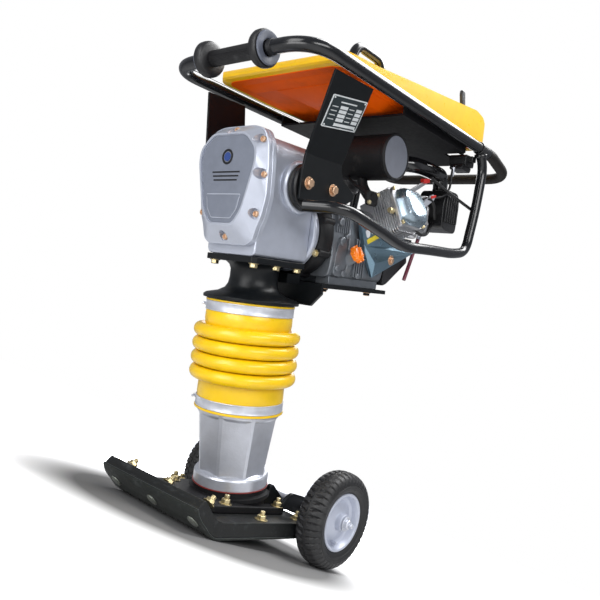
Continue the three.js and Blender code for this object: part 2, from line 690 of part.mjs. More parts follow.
function sidePlate(side) {
  const low = [
    [-14, 612], [118, 612], [168, 640], [168, 652], [122, 676], [113, 694], [113, 708], [-8, 708],
    [-14, 668],
  ];
  const top = SIDE_BENDS[side][0][3] + 2;
  const lower = prismX(low.map(([y, z]) => [y, Math.min(z, top)]), 109, 114);
  const panels = [];
  SIDE_BENDS[side].slice(1).forEach(([x1, front1, rear1, z1], i) => {
    const [x0, front0, rear0, z0] = SIDE_BENDS[side][i];
    panels.push(plateBetween([[x0, front0, z0], [x0, rear0, z0], [x1, rear1, z1], [x1, front1, z1]], 5));
  });
  const profile = [[0, 0], [12, 0], [12, 2.5], [10, 2.5], [10, 11], [0, 11]];
  const bolts = [9, 90].map((y) => turnedAlong(profile, v3(113, y, 648), AXIS_X, 6));
  const flat = cut(join(lower, ...panels, ...bolts), box(50, 108.8, -200, 300, 500, 900));
  return inHandle(side < 0 ? changed(flat, (g) => g.scale(-1, 1, 1)) : flat);
}

// A flat plate between four corners, t thick.
function plateBetween(corners, t) {
  const [a, b, c, d] = corners.map((p) => v3(...p));
  const n = b.clone().sub(a).cross(d.clone().sub(a)).normalize().multiplyScalar(t / 2);
  const points = [a, b, c, d];
  const all = [...points.map((p) => p.clone().sub(n)), ...points.map((p) => p.clone().add(n))];
  const g = new THREE.BufferGeometry();
  const values = new Float32Array(all.flatMap((p) => p.toArray()));
  g.setAttribute("position", new THREE.BufferAttribute(values, 3));
  const index = [0, 2, 1, 0, 3, 2, 4, 5, 6, 4, 6, 7];
  for (let i = 0; i < 4; i++) {
    const next = (i + 1) % 4;
    index.push(i, next, next + 4, i, next + 4, i + 4);
  }
  g.setIndex(index);
  return solid(g);
}

// Moves a solid drawn in the leg's frame into the handle's frame.
function inHandle(body) {
  return changed(body, (g) => g.translate(0, 0, -HANDLE_Z).rotateX(-HANDLE_PITCH));
}

function liftingEye() {
  const y0 = 236;
  const y1 = 373;
  const foot = TRAY_TOP + GAP;
  const points = [
    [0, y0, foot], [0, y0, 128], [0, y0 + 18, 172], [0, y1 - 18, 172], [0, y1, 128], [0, y1, foot],
  ];
  return tube(points, 12, { corner: 46, sides: 10, cornerSteps: 4 });
}

const TRAY_TOP = -19;

function tankTray() {
  const plate = box(-185, 185, 222, 650, TRAY_TOP - 5, TRAY_TOP);
  const slot = box(124, 200, 530, 700, TRAY_TOP - 20, TRAY_TOP + 40);
  const flanges = [-182.5, 182.5].map((x) => box(x - 2.5, x + 2.5, 222, 650, TRAY_TOP - 5, 4));
  return cut(join(plate, ...flanges), slot);
}

// Side view of the tank as [y, z].
const TANK_SIDE = [
  [-15, 884], [0, 878], [40, 877], [150, 872], [380, 868], [640, 856], [659, 872], [656, 898],
  [644, 922], [618, 940], [577, 948], [446, 937], [264, 923], [114, 910], [0, 905], [-12, 898],
];

const FUEL_CAP = { x: -70, y: 150, z: 918.4 };

function tank() {
  const body = prismX(rounded(TANK_SIDE, 8, 2), -TANK_X, TANK_X);
  const x = TANK_X;
  const plan = prismZ(rounded([[-x, -20], [x, -20], [x, 664], [-x, 664]], 46, 5), 840, 970);
  const eyeSlot = prismZ(rounded([[-21, 212], [21, 212], [21, 397], [-21, 397]], 18), 800, 1000);
  const leverSlot = prismZ(rounded([[134, 500], [168, 500], [168, 612], [134, 612]], 12), 800, 1000);
  const neck = turnedAlong(discProfile(29, 0, 30), v3(FUEL_CAP.x, FUEL_CAP.y, 888), v3(0, 0, 1), 24);
  return inHandle(join(cut(body.intersect(plan), eyeSlot, leverSlot), neck));
}

function fuelCap() {
  const from = v3(FUEL_CAP.x, FUEL_CAP.y, FUEL_CAP.z);
  const profile = [[0, 0], [34, 0], [36, 3], [36, 16], [32, 20], [0, 20]];
  return inHandle(turnedAlong(profile, from, v3(0, 0, 1), 24));
}

// Plate on the slanting part of the left side plate.
function namePlate() {
  const down = v3(-81, 22, -147).normalize();
  const n = v3(147, 0, -81).normalize();
  const g = new THREE.BoxGeometry(105, 66, 1.6);
  g.applyMatrix4(new THREE.Matrix4().makeBasis(n.clone().cross(down), down, n));
  const at = v3(159.9, 37, 794).addScaledVector(n, 3.7);
  return inHandle(solid(g.translate(at.x, at.y, at.z)));
}

function throttleHousing() {
  const line = [[556, 800], [606, 800], [606, 829], [556, 829]];
  const body = prismX(rounded(line, 6, 2), 126, 174);
  const gland = turnedAlong(discProfile(6, 0, 16), v3(150, 560, 808), v3(0, -1, 0), 12);
  const strap = box(170, 185.4, 570, 592, 812, 826);
  return inHandle(join(body, gland, strap));
}

function throttleLever() {
  const line = [[562, 832], [584, 832], [576, 880], [546, 990], [530, 992], [528, 980], [556, 900]];
  return inHandle(prismX(rounded(line, 6, 2), 146, 154));
}

// Cable from the housing's gland down towards the carburettor.
function throttleCable() {
  const points = [[150, 543.5, 808], [150, 520, 808], [151, 500, 752], [146, 482, 734]];
  return inHandle(tube(points, 3, { corner: 18, sides: 8, cornerSteps: 3 }));
}

function rollerSleeve() {
  const half = ROLLER.ringX - ROLLER.ringWidth / 2;
  const profile = ringProfile(TUBE_R + 0.4, ROLLER.sleeve, -half + GAP, half - GAP);
  return turnedAlong(profile, v3(0, 0, 0), AXIS_X, 24);
}

function rollerRing(side) {
  const w = ROLLER.ringWidth / 2;
  const bore = TUBE_R + 0.4;
  const r = ROLLER.ring;
  const profile = [[bore, -w], [r - 6, -w], [r, -w + 6], [r, w - 6], [r - 6, w], [bore, w], [bore, -w]];
  return turnedAlong(profile, v3(side * ROLLER.ringX, 0, 0), AXIS_X, 24);
}

function oilCap() {
  const profile = [[0, 30.4], [20, 30.4], [20, 40], [15, 46], [0, 46]];
  return turnedAlong(profile, FILLER.from, FILLER.direction, 16);
}

// Straight down, in the leg's leaning frame.
const PLUMB = v3(0, -Math.sin(LEAN), -Math.cos(LEAN));
const NIPPLE = { top: v3(106, 489, 610), drop: 22 };

// Bent pipe from the carburettor flange, its end pointing straight down.
function drainNipple() {
  const end = NIPPLE.top.clone().addScaledVector(PLUMB, NIPPLE.drop);
  const points = [[106, 460.4, 612], NIPPLE.top.toArray(), end.toArray()];
  return tube(points, 5.6, { corner: 12, sides: 10, cornerSteps: 4 });
}

function drainHose() {
  const top = NIPPLE.top.clone().addScaledVector(PLUMB, NIPPLE.drop + GAP);
  const points = [];
  for (let i = 0; i <= 6; i++) {
    points.push(top.clone().addScaledVector(PLUMB, (HOSE.length * i) / 6).toArray());
  }
  return tube(points, HOSE.radius, { corner: 1, sides: 10, cornerSteps: 1 });
}

// ---- Assembly ----------------------------------------------------------------------------------
const SIDES = [["left", 1], ["right", -1]];

const machine = new THREE.Group();
const leaning = new THREE.Group();
leaning.rotation.x = LEAN;
const toe = v3(0, TOE.y, TOE.z).applyEuler(leaning.rotation);
leaning.position.set(0, -BOX_CENTRE_Y - toe.y, -toe.z);
machine.add(leaning);

const foot = new THREE.Group();
foot.position.set(0, TOE.y, TOE.z);
foot.rotation.x = -SOLE_PITCH;
foot.add(
  mesh("sole_plate", solePlate(), "satin"),
  mesh("shoe_board", shoeBoard(), "satin"),
  mesh("foot_casting", footCasting(), "cast"),
  mesh("axle", axle(), "steel"),
);
for (const [name, side] of SIDES) {
  const wheel = new THREE.Group();
  wheel.position.set(side * WHEEL.x, WHEEL.y, WHEEL.z);
  wheel.scale.x = side;
  wheel.add(mesh(`tyre_${name}`, tyre(), "rubber"), mesh(`rim_${name}`, rim(), "rim"));
  foot.add(wheel);
}

leaning.add(
  foot,
  mesh("lower_leg", lowerLeg(), "silver"),
  mesh("spring_tube", springTube(), "steel"),
  mesh("band_lower", clampBand(163, 183), "steel"),
  mesh("band_upper", clampBand(368, 387), "steel"),
  mesh("bellows", bellows(), "bellows"),
  mesh("guide_tube", guideTube(), "satin"),
  mesh("crankcase", crankcase(), "silver"),
  mesh("crankcase_cover", crankcaseCover(), "silver"),
  mesh("bell_housing", bellHousing(), "alloy"),
  mesh("clutch_housing", clutchHousing(), "cast"),
  mesh("clutch_shaft", clutchShaft(), "steel"),
  mesh("crank_gear", crankGear(), "steel"),
  mesh("piston", piston(), "steel"),
  mesh("engine_block", engineBlock(), "grey"),
  mesh("engine_cylinder", engineCylinder(), "alloy"),
  mesh("valve_cover", valveCover(), "alloy"),
  mesh("engine_shroud", engineShroud(), "alloy"),
  mesh("fan_housing", starterCover(), "satin"),
  mesh("starter_handle", starterHandle(), "satin"),
  mesh("muffler", muffler(), "cast"),
  mesh("carburettor", carburettor(), "alloy"),
  mesh("choke_lever", chokeLever(), "steel"),
  mesh("air_box", airBox(), "satin"),
  mesh("intake_elbow", intakeElbow(), "black"),
  mesh("air_cleaner", join(airCleaner(), intakePipe()), "satin"),
  mesh("engine_base", engineBase(), "satin"),
  mesh("rear_bracket", rearBracket(), "satin"),
  mesh("oil_cap", oilCap(), "orange"),
  mesh("drain_nipple", drainNipple(), "steel"),
  mesh("drain_hose", drainHose(), "purple"),
);

const handle = new THREE.Group();
handle.position.z = HANDLE_Z;
handle.rotation.x = HANDLE_PITCH;
const roller = new THREE.Group();
roller.position.y = FRONT_BAR_Y;
roller.add(mesh("roller_sleeve", rollerSleeve(), "rubber"));
for (const [name, side] of SIDES) {
  leaning.add(mesh(`shock_mount_${name}`, shockMount(side), "rubber"));
  roller.add(mesh(`roller_ring_${name}`, rollerRing(side), "rubber"));
  handle.add(
    mesh(`side_tube_${name}`, sideTube(side), "black"),
    mesh(`guard_tube_${name}`, guardTube(side), "black"),
    mesh(`side_plate_${name}`, sidePlate(side), "satin"),
  );
}
handle.add(
  roller,
  mesh("front_bar", frontBar(), "black"),
  mesh("rear_grip", rearGrip(), "rubber"),
  mesh("tank", tank(), "yellow"),
  mesh("tank_tray", tankTray(), "satin"),
  mesh("fuel_cap", fuelCap(), "satin"),
  mesh("lifting_eye", liftingEye(), "black"),
  mesh("name_plate", namePlate(), "grey"),
  mesh("throttle_housing", throttleHousing(), "satin"),
  mesh("throttle_lever", throttleLever(), "satin"),
  mesh("throttle_cable", throttleCable(), "black"),
);
leaning.add(handle);

export default machine;
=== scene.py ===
import bpy
import bmesh
import math
from mathutils import Matrix, Vector


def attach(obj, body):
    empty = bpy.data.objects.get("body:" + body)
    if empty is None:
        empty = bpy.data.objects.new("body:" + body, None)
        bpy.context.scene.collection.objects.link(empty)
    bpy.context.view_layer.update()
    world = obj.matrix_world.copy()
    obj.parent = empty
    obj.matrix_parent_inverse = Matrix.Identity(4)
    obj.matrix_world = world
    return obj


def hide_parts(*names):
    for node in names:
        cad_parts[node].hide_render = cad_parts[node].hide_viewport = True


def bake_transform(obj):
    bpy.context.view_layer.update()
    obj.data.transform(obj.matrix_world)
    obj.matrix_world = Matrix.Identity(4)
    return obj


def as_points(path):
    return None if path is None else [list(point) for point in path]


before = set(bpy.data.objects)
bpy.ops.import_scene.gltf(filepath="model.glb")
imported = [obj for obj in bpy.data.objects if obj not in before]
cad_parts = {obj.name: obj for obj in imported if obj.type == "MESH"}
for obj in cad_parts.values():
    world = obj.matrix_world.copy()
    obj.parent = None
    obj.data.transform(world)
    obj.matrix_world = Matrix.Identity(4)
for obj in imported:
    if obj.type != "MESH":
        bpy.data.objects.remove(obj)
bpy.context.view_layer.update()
rad = math.radians
SIDES = (("left", 1), ("right", -1))
shift = Matrix.Translation

LEAN, PITCH, CENTRE_Y = rad(22.3), rad(13), 115.36
MM = Matrix.Scale(0.001, 4)


def turn_x(a):
    return Matrix.Rotation(a, 4, "X")


ROW = MM @ shift((0, -CENTRE_Y, 0))
LEG = ROW @ turn_x(LEAN) @ shift((0, 172.5, 37.8))
FOOT = ROW @ turn_x(LEAN - PITCH)
HANDLE = LEG @ shift((0, 0, 872)) @ turn_x(-0.045)

# ---- Materials ---------------------------------------------------------------------------------


def node(tree, kind, **values):
    n = tree.nodes.new(kind)
    for key, value in values.items():
        if hasattr(n, key):
            setattr(n, key, value)
        else:
            n.inputs[key].default_value = value
    return n


def material(name, colour, rough, metal=0.0, tint=0.12, size=40.0, grain=600.0, bump=0.1, vary=0.08,
             stretch=(1, 1, 1), wear=None, wear_size=25.0, wear_edge=0.66, coat=0.0, subsurface=0.0,
             shine=0.5):
    """Colour cloud, fine grain bump, roughness cloud, and a second colour in worn or dusty patches."""
    m = bpy.data.materials.new(name)
    m.use_nodes = True
    t = m.node_tree
    shader = t.nodes["Principled BSDF"]
    link = t.links.new
    where = node(t, "ShaderNodeTexCoord")
    mapping = node(t, "ShaderNodeMapping")
    mapping.inputs["Scale"].default_value = stretch
    link(where.outputs["Object"], mapping.inputs["Vector"])

    def cloud(scale, detail=4.0, roughness=0.55):
        n = node(t, "ShaderNodeTexNoise", Scale=scale, Detail=detail, Roughness=roughness)
        link(mapping.outputs["Vector"], n.inputs["Vector"])
        return n.outputs["Fac"]

    def ramp(source, stops):
        n = node(t, "ShaderNodeValToRGB")
        while len(n.color_ramp.elements) < len(stops):
            n.color_ramp.elements.new(0.5)
        for e, (place, c) in zip(n.color_ramp.elements, stops):
            e.position = place
            e.color = (*c, 1)
        link(source, n.inputs["Fac"])
        return n.outputs["Color"]

    low = [c * (1 - tint) for c in colour]
    high = [min(1, c * (1 + tint)) for c in colour]
    paint = ramp(cloud(size), [(0.3, low), (0.7, high)])
    if wear:
        patches = ramp(cloud(wear_size, 6.0, 0.65), [(wear_edge - 0.06, (0, 0, 0)),
            (wear_edge + 0.1, (1, 1, 1))])
        mix = node(t, "ShaderNodeMix", data_type="RGBA")
        link(patches, mix.inputs["Factor"])
        link(paint, mix.inputs["A"])
        mix.inputs["B"].default_value = (*wear, 1)
        paint = mix.outputs["Result"]
    link(paint, shader.inputs["Base Color"])
    spread = node(t, "ShaderNodeMapRange")
    spread.inputs["To Min"].default_value = max(0.02, rough - vary)
    spread.inputs["To Max"].default_value = min(1.0, rough + vary)
    link(cloud(size * 2.3, 5.0), spread.inputs["Value"])
    link(spread.outputs["Result"], shader.inputs["Roughness"])
    b = node(t, "ShaderNodeBump", Strength=bump, Distance=0.0006)
    link(cloud(grain, 3.0), b.inputs["Height"])
    link(b.outputs["Normal"], shader.inputs["Normal"])
    shader.inputs["Metallic"].default_value = metal
    shader.inputs["Specular IOR Level"].default_value = shine
    shader.inputs["Coat Weight"].default_value = coat
    shader.inputs["Coat Roughness"].default_value = 0.08
    if subsurface:
        shader.inputs["Subsurface Weight"].default_value = subsurface
        shader.inputs["Subsurface Scale"].default_value = 0.01
    return m


powder = material("powder_black", (0.005, 0.0055, 0.007), 0.2, bump=0.1, grain=900, coat=0.15, vary=0.05,
                  wear=(0.03, 0.03, 0.034), wear_edge=0.74)
plate_black = material("plate_black", (0.004, 0.005, 0.006), 0.36, bump=0.18, grain=700, shine=0.25,
                       wear=(0.028, 0.027, 0.026), wear_edge=0.72)
cast_black = material("cast_black", (0.006, 0.006, 0.007), 0.55, bump=0.8, grain=260, shine=0.3,
                      wear=(0.03, 0.029, 0.027), wear_edge=0.68)
board = material("shoe_board", (0.008, 0.009, 0.009), 0.5, bump=0.6, grain=420, size=70,
                 stretch=(0.35, 1, 1),
                 shine=0.35, wear=(0.035, 0.038, 0.04), wear_size=60, wear_edge=0.62)
tray_black = material("tray_black", (0.004, 0.004, 0.005), 0.6, bump=0.3, grain=500, shine=0.12, vary=0.1)
sole_steel = material("sole_steel", (0.014, 0.017, 0.015), 0.5, metal=0.2, bump=0.4, grain=350, shine=0.35,
                      wear=(0.045, 0.05, 0.048), wear_size=45, wear_edge=0.6)
edge_steel = material("edge_steel", (0.09, 0.1, 0.1), 0.45, metal=0.6, bump=0.2, grain=350)
toe_zinc = material("toe_zinc", (0.15, 0.16, 0.14), 0.5, metal=0.5, bump=0.4, grain=380)
silver = material("silver_paint", (0.47, 0.5, 0.58), 0.34, metal=0.5, bump=0.3, grain=380, tint=0.04,
                  wear=(0.36, 0.38, 0.44), wear_edge=0.72, coat=0.25)
panel = material("silver_panel", (0.2, 0.22, 0.27), 0.45, metal=0.45, bump=0.45, grain=420, tint=0.06)
leg_silver = material("leg_silver", (0.55, 0.57, 0.63), 0.32, metal=0.6, bump=0.5, grain=260, tint=0.07,
                      wear=(0.33, 0.34, 0.38), wear_edge=0.7, coat=0.2)
engine_grey = material("engine_grey", (0.18, 0.195, 0.215), 0.4, metal=0.6, bump=0.5, grain=320,
                       wear=(0.24, 0.245, 0.25), wear_edge=0.66)
alloy = material("alloy", (0.56, 0.565, 0.58), 0.3, metal=0.85, bump=0.4, grain=330, wear=(0.3, 0.3, 0.31),
                 wear_edge=0.7)
chrome = material("cover_chrome", (0.36, 0.45, 0.52), 0.28, metal=0.9, bump=0.1, grain=200, tint=0.05)
shroud_blue = material("shroud_steel", (0.2, 0.31, 0.39), 0.3, metal=0.85, bump=0.12, grain=220, size=22)
steel = material("band_steel", (0.6, 0.62, 0.68), 0.4, metal=0.6, bump=0.08, grain=240)
zinc = material("zinc_yellow", (0.6, 0.5, 0.28), 0.3, metal=0.9, bump=0.2, grain=500, tint=0.2, size=90)
boss_blue = material("boss_blue", (0.02, 0.05, 0.2), 0.4, bump=0.2, grain=500, coat=0.2)
copper = material("zinc_copper", (0.7, 0.46, 0.3), 0.34, metal=0.85, bump=0.2, grain=500, tint=0.2, size=90)
yellow = material("tank_yellow", (0.93, 0.55, 0.01), 0.3, bump=0.25, grain=500, tint=0.04, coat=0.3,
                  subsurface=0.1,
                  wear=(0.85, 0.44, 0.01), wear_edge=0.68)
# Orange for the tank's underside: painted shade of the yellow tank plastic.
tank_shade_orange = material("tank_painted_shade_orange", (1.0, 0.12, 0.0), 0.5, bump=0.2, grain=450, tint=0.08, size=9, shine=0.1,
                  wear=(0.78, 0.1, 0.002), wear_size=7, wear_edge=0.6)
bellows_yellow = material("bellows_yellow", (0.82, 0.52, 0.002), 0.3, bump=0.15, grain=420, tint=0.05,
                          coat=0.15,
                          subsurface=0.05, wear=(0.9, 0.55, 0.0), wear_edge=0.68)
tyre_rubber = material("tyre_rubber", (0.01, 0.01, 0.011), 0.5, bump=0.4, grain=500,
                       wear=(0.03, 0.03, 0.03),
                       wear_edge=0.62)
rim_paint = material("rim_paint", (0.5, 0.53, 0.62), 0.42, metal=0.2, bump=0.3, grain=420, tint=0.06,
                     wear=(0.3, 0.3, 0.31), wear_edge=0.7, coat=0.1)
rubber = material("rubber", (0.007, 0.007, 0.008), 0.42, bump=0.4, grain=550, wear=(0.045, 0.045, 0.047))
grip_rubber = material("grip_rubber", (0.009, 0.007, 0.006), 0.6, shine=0.3, bump=0.6, grain=650, tint=0.2)
ring_grey = material("roller_side", (0.085, 0.095, 0.125), 0.5, bump=0.3, grain=420, tint=0.1)
plastic = material("plastic_black", (0.008, 0.008, 0.009), 0.38, bump=0.5, grain=620, coat=0.1,
                   wear=(0.03, 0.03, 0.032))
gloss_hose = material("elbow_rubber", (0.006, 0.006, 0.007), 0.14, bump=0.06, grain=300, coat=0.6)
end_cap = material("muffler_cap", (0.13, 0.14, 0.17), 0.55, bump=0.5, grain=450, tint=0.08)
orange_cap = material("cap_orange", (0.93, 0.22, 0.004), 0.34, bump=0.2, grain=420, tint=0.07, coat=0.3)
purple = material("hose_purple", (0.16, 0.028, 0.05), 0.32, bump=0.2, grain=500, tint=0.15)
red = material("lever_red", (0.55, 0.02, 0.015), 0.35, bump=0.2, grain=500)
label = material("label_grey", (0.02, 0.03, 0.034), 0.35, metal=0.2, bump=0.08, grain=400)
label_pale = material("label_pale", (0.66, 0.69, 0.7), 0.4, metal=0.2, bump=0.05, grain=400)
seal_red = material("seal_red", (0.22, 0.03, 0.025), 0.4, bump=0.2, grain=400)
sticker = material("sticker_yellow", (0.62, 0.5, 0.03), 0.35, bump=0.05, grain=300)
inner_white = material("sticker_white", (0.62, 0.64, 0.66), 0.35, bump=0.05, grain=300)

# ---- Mesh helpers ------------------------------------------------------------------------------


def piece(name, bm, where, mat, body, replaces=(), bevel=0.0, segments=3, smooth=32, slot=None):
    """A finished mesh in the row frame, riding on a CAD body."""
    bm.transform(where)
    bmesh.ops.recalc_face_normals(bm, faces=bm.faces)
    data = bpy.data.meshes.new(name)
    bm.to_mesh(data)
    bm.free()
    data.materials.append(mat)
    ob = bpy.data.objects.new(name, data)
    bpy.context.scene.collection.objects.link(ob)
    data.shade_smooth()
    data.set_sharp_from_angle(angle=rad(smooth))
    if bevel:
        soften(ob, bevel, segments)
    if replaces:
        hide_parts(*replaces)
    if body:
        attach(ob, body)
    return ob


def soften(ob, width, segments=3, angle=30):
    mod = ob.modifiers.new("edge", "BEVEL")
    mod.width = width * 0.001
    mod.segments = segments
    mod.limit_method = "ANGLE"
    mod.angle_limit = rad(angle)
    mod.harden_normals = False
    return mod


def carve(ob, cutters, where, operation="DIFFERENCE"):
    """Cuts a finished piece with a bmesh drawn in its local frame, and keeps the result as its mesh."""
    cutters.transform(where)
    bmesh.ops.recalc_face_normals(cutters, faces=cutters.faces)
    data = bpy.data.meshes.new("cutter")
    cutters.to_mesh(data)
    cutters.free()
    tool = bpy.data.objects.new("cutter", data)
    bpy.context.scene.collection.objects.link(tool)
    mod = ob.modifiers.new("carve", "BOOLEAN")
    mod.operation = operation
    mod.solver = "EXACT"
    mod.object = tool
    bpy.context.view_layer.update()
    coat = ob.data.materials[0]
    shaped = bpy.data.meshes.new_from_object(ob.evaluated_get(bpy.context.evaluated_depsgraph_get()))
    ob.modifiers.remove(mod)
    ob.data = shaped
    bpy.data.objects.remove(tool)
    shaped.materials.clear()
    shaped.materials.append(coat)
    shaped.shade_smooth()
    shaped.set_sharp_from_angle(angle=rad(30))


def aim(point, direction):
    """Matrix that puts local Z along a direction at a point."""
    q = Vector((0, 0, 1)).rotation_difference(Vector(direction).normalized())
    return shift(Vector(point)) @ q.to_matrix().to_4x4()


def lathe(bm, profile, place=Matrix.Identity(4), steps=72, wave=None):
    """Turns [radius, height] about local Z. wave(angle, r, z) gives a new radius."""
    rings = []
    closed = profile[0] == profile[-1]
    points = profile[:-1] if closed else profile
    for r, z in points:
        if r < 1e-6:
            rings.append([bm.verts.new(place @ Vector((0, 0, z)))])
            continue
        ring = []
        for i in range(steps):
            a = 2 * math.pi * i / steps
            radius = wave(a, r, z) if wave else r
            ring.append(bm.verts.new(place @ Vector((radius * math.cos(a), radius * math.sin(a), z))))
        rings.append(ring)
    pairs = list(zip(rings, rings[1:])) + ([(rings[-1], rings[0])] if closed else [])
    for a, b in pairs:
        for i in range(steps):
            j = (i + 1) % steps
            if len(a) == 1 and len(b) == 1:
                break
            if len(a) == 1:
                bm.faces.new((a[0], b[i], b[j]))
            elif len(b) == 1:
                bm.faces.new((a[j], a[i], b[0]))
            else:
                bm.faces.new((a[i], a[j], b[j], b[i]))
    return bm


def prism(bm, outline, depth, place=Matrix.Identity(4)):
    """Extrudes an outline in local XY by a depth along local Z."""
    low = [bm.verts.new(place @ Vector((x, y, 0))) for x, y in outline]
    high = [bm.verts.new(place @ Vector((x, y, depth))) for x, y in outline]
    bm.faces.new(low)
    bm.faces.new(high)
    for i in range(len(low)):
        j = (i + 1) % len(low)
        bm.faces.new((low[i], low[j], high[j], high[i]))
    return bm


def skin(bm, rings):
    """Faces between equal rings of vertices, with both ends closed."""
    for a, b in zip(rings, rings[1:]):
        for i in range(len(a)):
            j = (i + 1) % len(a)
            bm.faces.new((a[i], a[j], b[j], b[i]))
    bm.faces.new(rings[0])
    bm.faces.new(rings[-1])


# Extrusion along X and along Y.
AX = Matrix(((0, 0, 1, 0), (1, 0, 0, 0), (0, 1, 0, 0), (0, 0, 0, 1)))
AY = Matrix(((1, 0, 0, 0), (0, 0, -1, 0), (0, 1, 0, 0), (0, 0, 0, 1)))


def prism_x(bm, outline, x0, x1):
    return prism(bm, outline, x1 - x0, shift((x0, 0, 0)) @ AX)


def prism_y(bm, outline, y0, y1):
    return prism(bm, outline, y1 - y0, shift((0, y1, 0)) @ AY)


def prism_z(bm, outline, z0, z1):
    return prism(bm, outline, z1 - z0, shift((0, 0, z0)))


def block(bm, x0, x1, y0, y1, z0, z1, place=Matrix.Identity(4)):
    return prism(bm, [(x0, y0), (x1, y0), (x1, y1), (x0, y1)], z1 - z0, place @ shift((0, 0, z0)))


def rounded(points, radius, n=5):
    out = []
    for i, p in enumerate(points):
        p = Vector(p)
        a = Vector(points[i - 1]) - p
        b = Vector(points[(i + 1) % len(points)]) - p
        d = min(radius, a.length * 0.45, b.length * 0.45)
        s, e = p + a.normalized() * d, p + b.normalized() * d
        for k in range(n + 1):
            u = k / n
            out.append(tuple(s * (1 - u) ** 2 + p * 2 * u * (1 - u) + e * u * u))
    return out


def route(points, corner, n=10):
    """Points of straight runs with rounded corners."""
    pts = [Vector(p) for p in points]
    out = [pts[0]]
    for i in range(1, len(pts) - 1):
        a, b = pts[i - 1] - pts[i], pts[i + 1] - pts[i]
        d = min(corner, a.length * 0.48, b.length * 0.48)
        s, e = pts[i] + a.normalized() * d, pts[i] + b.normalized() * d
        out += [s * (1 - k / n) ** 2 + pts[i] * 2 * (k / n) * (1 - k / n) + e * (k / n) ** 2 for k in range(n + 1)]
    return out + [pts[-1]]


def tube(bm, points, radius, corner=40, sides=28, n=10, rib=None):
    """Round tube along a rounded route, with closed ends. rib(i) scales the radius at a station."""
    line = route(points, corner, n)
    rings = []
    normal = None
    for i, p in enumerate(line):
        t = (line[min(i + 1, len(line) - 1)] - line[max(i - 1, 0)]).normalized()
        if normal is None:
            normal = t.orthogonal().normalized()
        normal = (normal - t * normal.dot(t)).normalized()
        side = t.cross(normal)
        r = radius * (rib(i) if rib else 1)
        rings.append([bm.verts.new(p + (normal * math.cos(a) + side * math.sin(a)) * r)
                      for a in (2 * math.pi * k / sides for k in range(sides))])
    skin(bm, rings)
    return bm


def inset(line, t):
    """The open line moved sideways by a distance."""
    out = []
    for i, p in enumerate(line):
        a, b = Vector(line[max(0, i - 1)]), Vector(line[min(len(line) - 1, i + 1)])
        d = (b - a).normalized()
        out.append((p[0] + d.y * t, p[1] - d.x * t))
    return out


def sheet(bm, corners, t):
    """A flat sheet between four corners."""
    a, b, c, d = [Vector(p) for p in corners]
    n = (b - a).cross(d - a).normalized() * t / 2
    low = [bm.verts.new(p - n) for p in (a, b, c, d)]
    high = [bm.verts.new(p + n) for p in (a, b, c, d)]
    bm.faces.new(low)
    bm.faces.new(high)
    for i in range(4):
        j = (i + 1) % 4
        bm.faces.new((low[i], low[j], high[j], high[i]))


def pan(bm, top, bottom, z_top, z_bottom):
    """A shallow tray whose rim and floor fall a little to the rear."""
    a = [bm.verts.new((x, y, z_top - 0.008 * y)) for x, y in top]
    b = [bm.verts.new((x, y, z_bottom - 0.012 * y)) for x, y in bottom]
    for i in range(len(a)):
        j = (i + 1) % len(a)
        bm.faces.new((a[i], a[j], b[j], b[i]))
    bm.faces.new(a)
    bm.faces.new(b)


def hull(name, points, mat, body, **more):
    """A piece on the leg frame that is the convex hull of a few points."""
    bm = new()
    for point in points:
        bm.verts.new(point)
    bmesh.ops.convex_hull(bm, input=bm.verts[:])
    return piece(name, bm, LEG, mat, body, smooth=12, **more)


def hex_bolt(bm, point, direction, r=8, h=7, washer=0.0, stud=0.0):
    """Hex head with a chamfered top, an optional washer under it and a stud out of it."""
    m = aim(point, direction)
    if washer:
        lathe(bm, [(0, 0), (washer, 0), (washer, 1.8), (0, 1.8)], m, 24)
    base = 1.8 if washer else 0
    lathe(bm, [(0, base), (r, base), (r, base + h * 0.8), (r * 0.84, base + h), (0, base + h)], m, 6)
    if stud:
        lathe(bm, [(0, base + h), (stud, base + h), (stud, base + h + 7), (stud * 0.8, base + h + 8),
                   (0, base + h + 8)], m, 12)
    return bm


def new():
    return bmesh.new()


def dress(node_name, mat, bevel=0.0, segments=2, smooth=30):
    """A CAD node kept as it is, with a finished material and softened edges."""
    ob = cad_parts[node_name]
    ob.data.materials.clear()
    ob.data.materials.append(mat)
    ob.data.shade_smooth()
    ob.data.set_sharp_from_angle(angle=rad(smooth))
    if bevel:
        soften(ob, bevel, segments)
    return ob


# ---- Camera ------------------------------------------------------------------------------------
cam_data = bpy.data.cameras.new("camera")
cam_data.lens = 37.56
cam_data.sensor_width = 36
cam_data.clip_start = 0.02
cam = bpy.data.objects.new("camera", cam_data)
bpy.context.scene.collection.objects.link(cam)
right = Vector((0.7544, 0.5517, 0.3557))
down = Vector((0.1158, 0.4215, -0.8995))
fwd = Vector((-0.6462, 0.7197, 0.2541))
turn = Matrix((right, -down, -fwd)).transposed().to_4x4()
EYE = (0.9511, -1.03306, 0.1601)
cam.matrix_world = shift(EYE) @ turn
bpy.context.scene.camera = cam
bpy.context.scene.view_settings.view_transform = "Standard"

# ---- Drain hose --------------------------------------------------------------------------------
plumb = Vector((0, -math.sin(LEAN), -math.cos(LEAN)))
nipple_top = Vector((106, 489, 610))
hose_top = LEG @ (nipple_top + plumb * 22.3)
HOSE_LENGTH = 0.118
hose_line = [hose_top - Vector((0, 0, HOSE_LENGTH * i / 16)) for i in range(17)]
bm = new()
tube(bm, [tuple(p * 1000) for p in (hose_line[0], hose_line[-1])], 4.8, sides=24, n=2)
hose = piece("drain_hose_rubber", bm, MM, purple, "upper", ["drain_hose"], slot="hose", smooth=40)
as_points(hose_line)

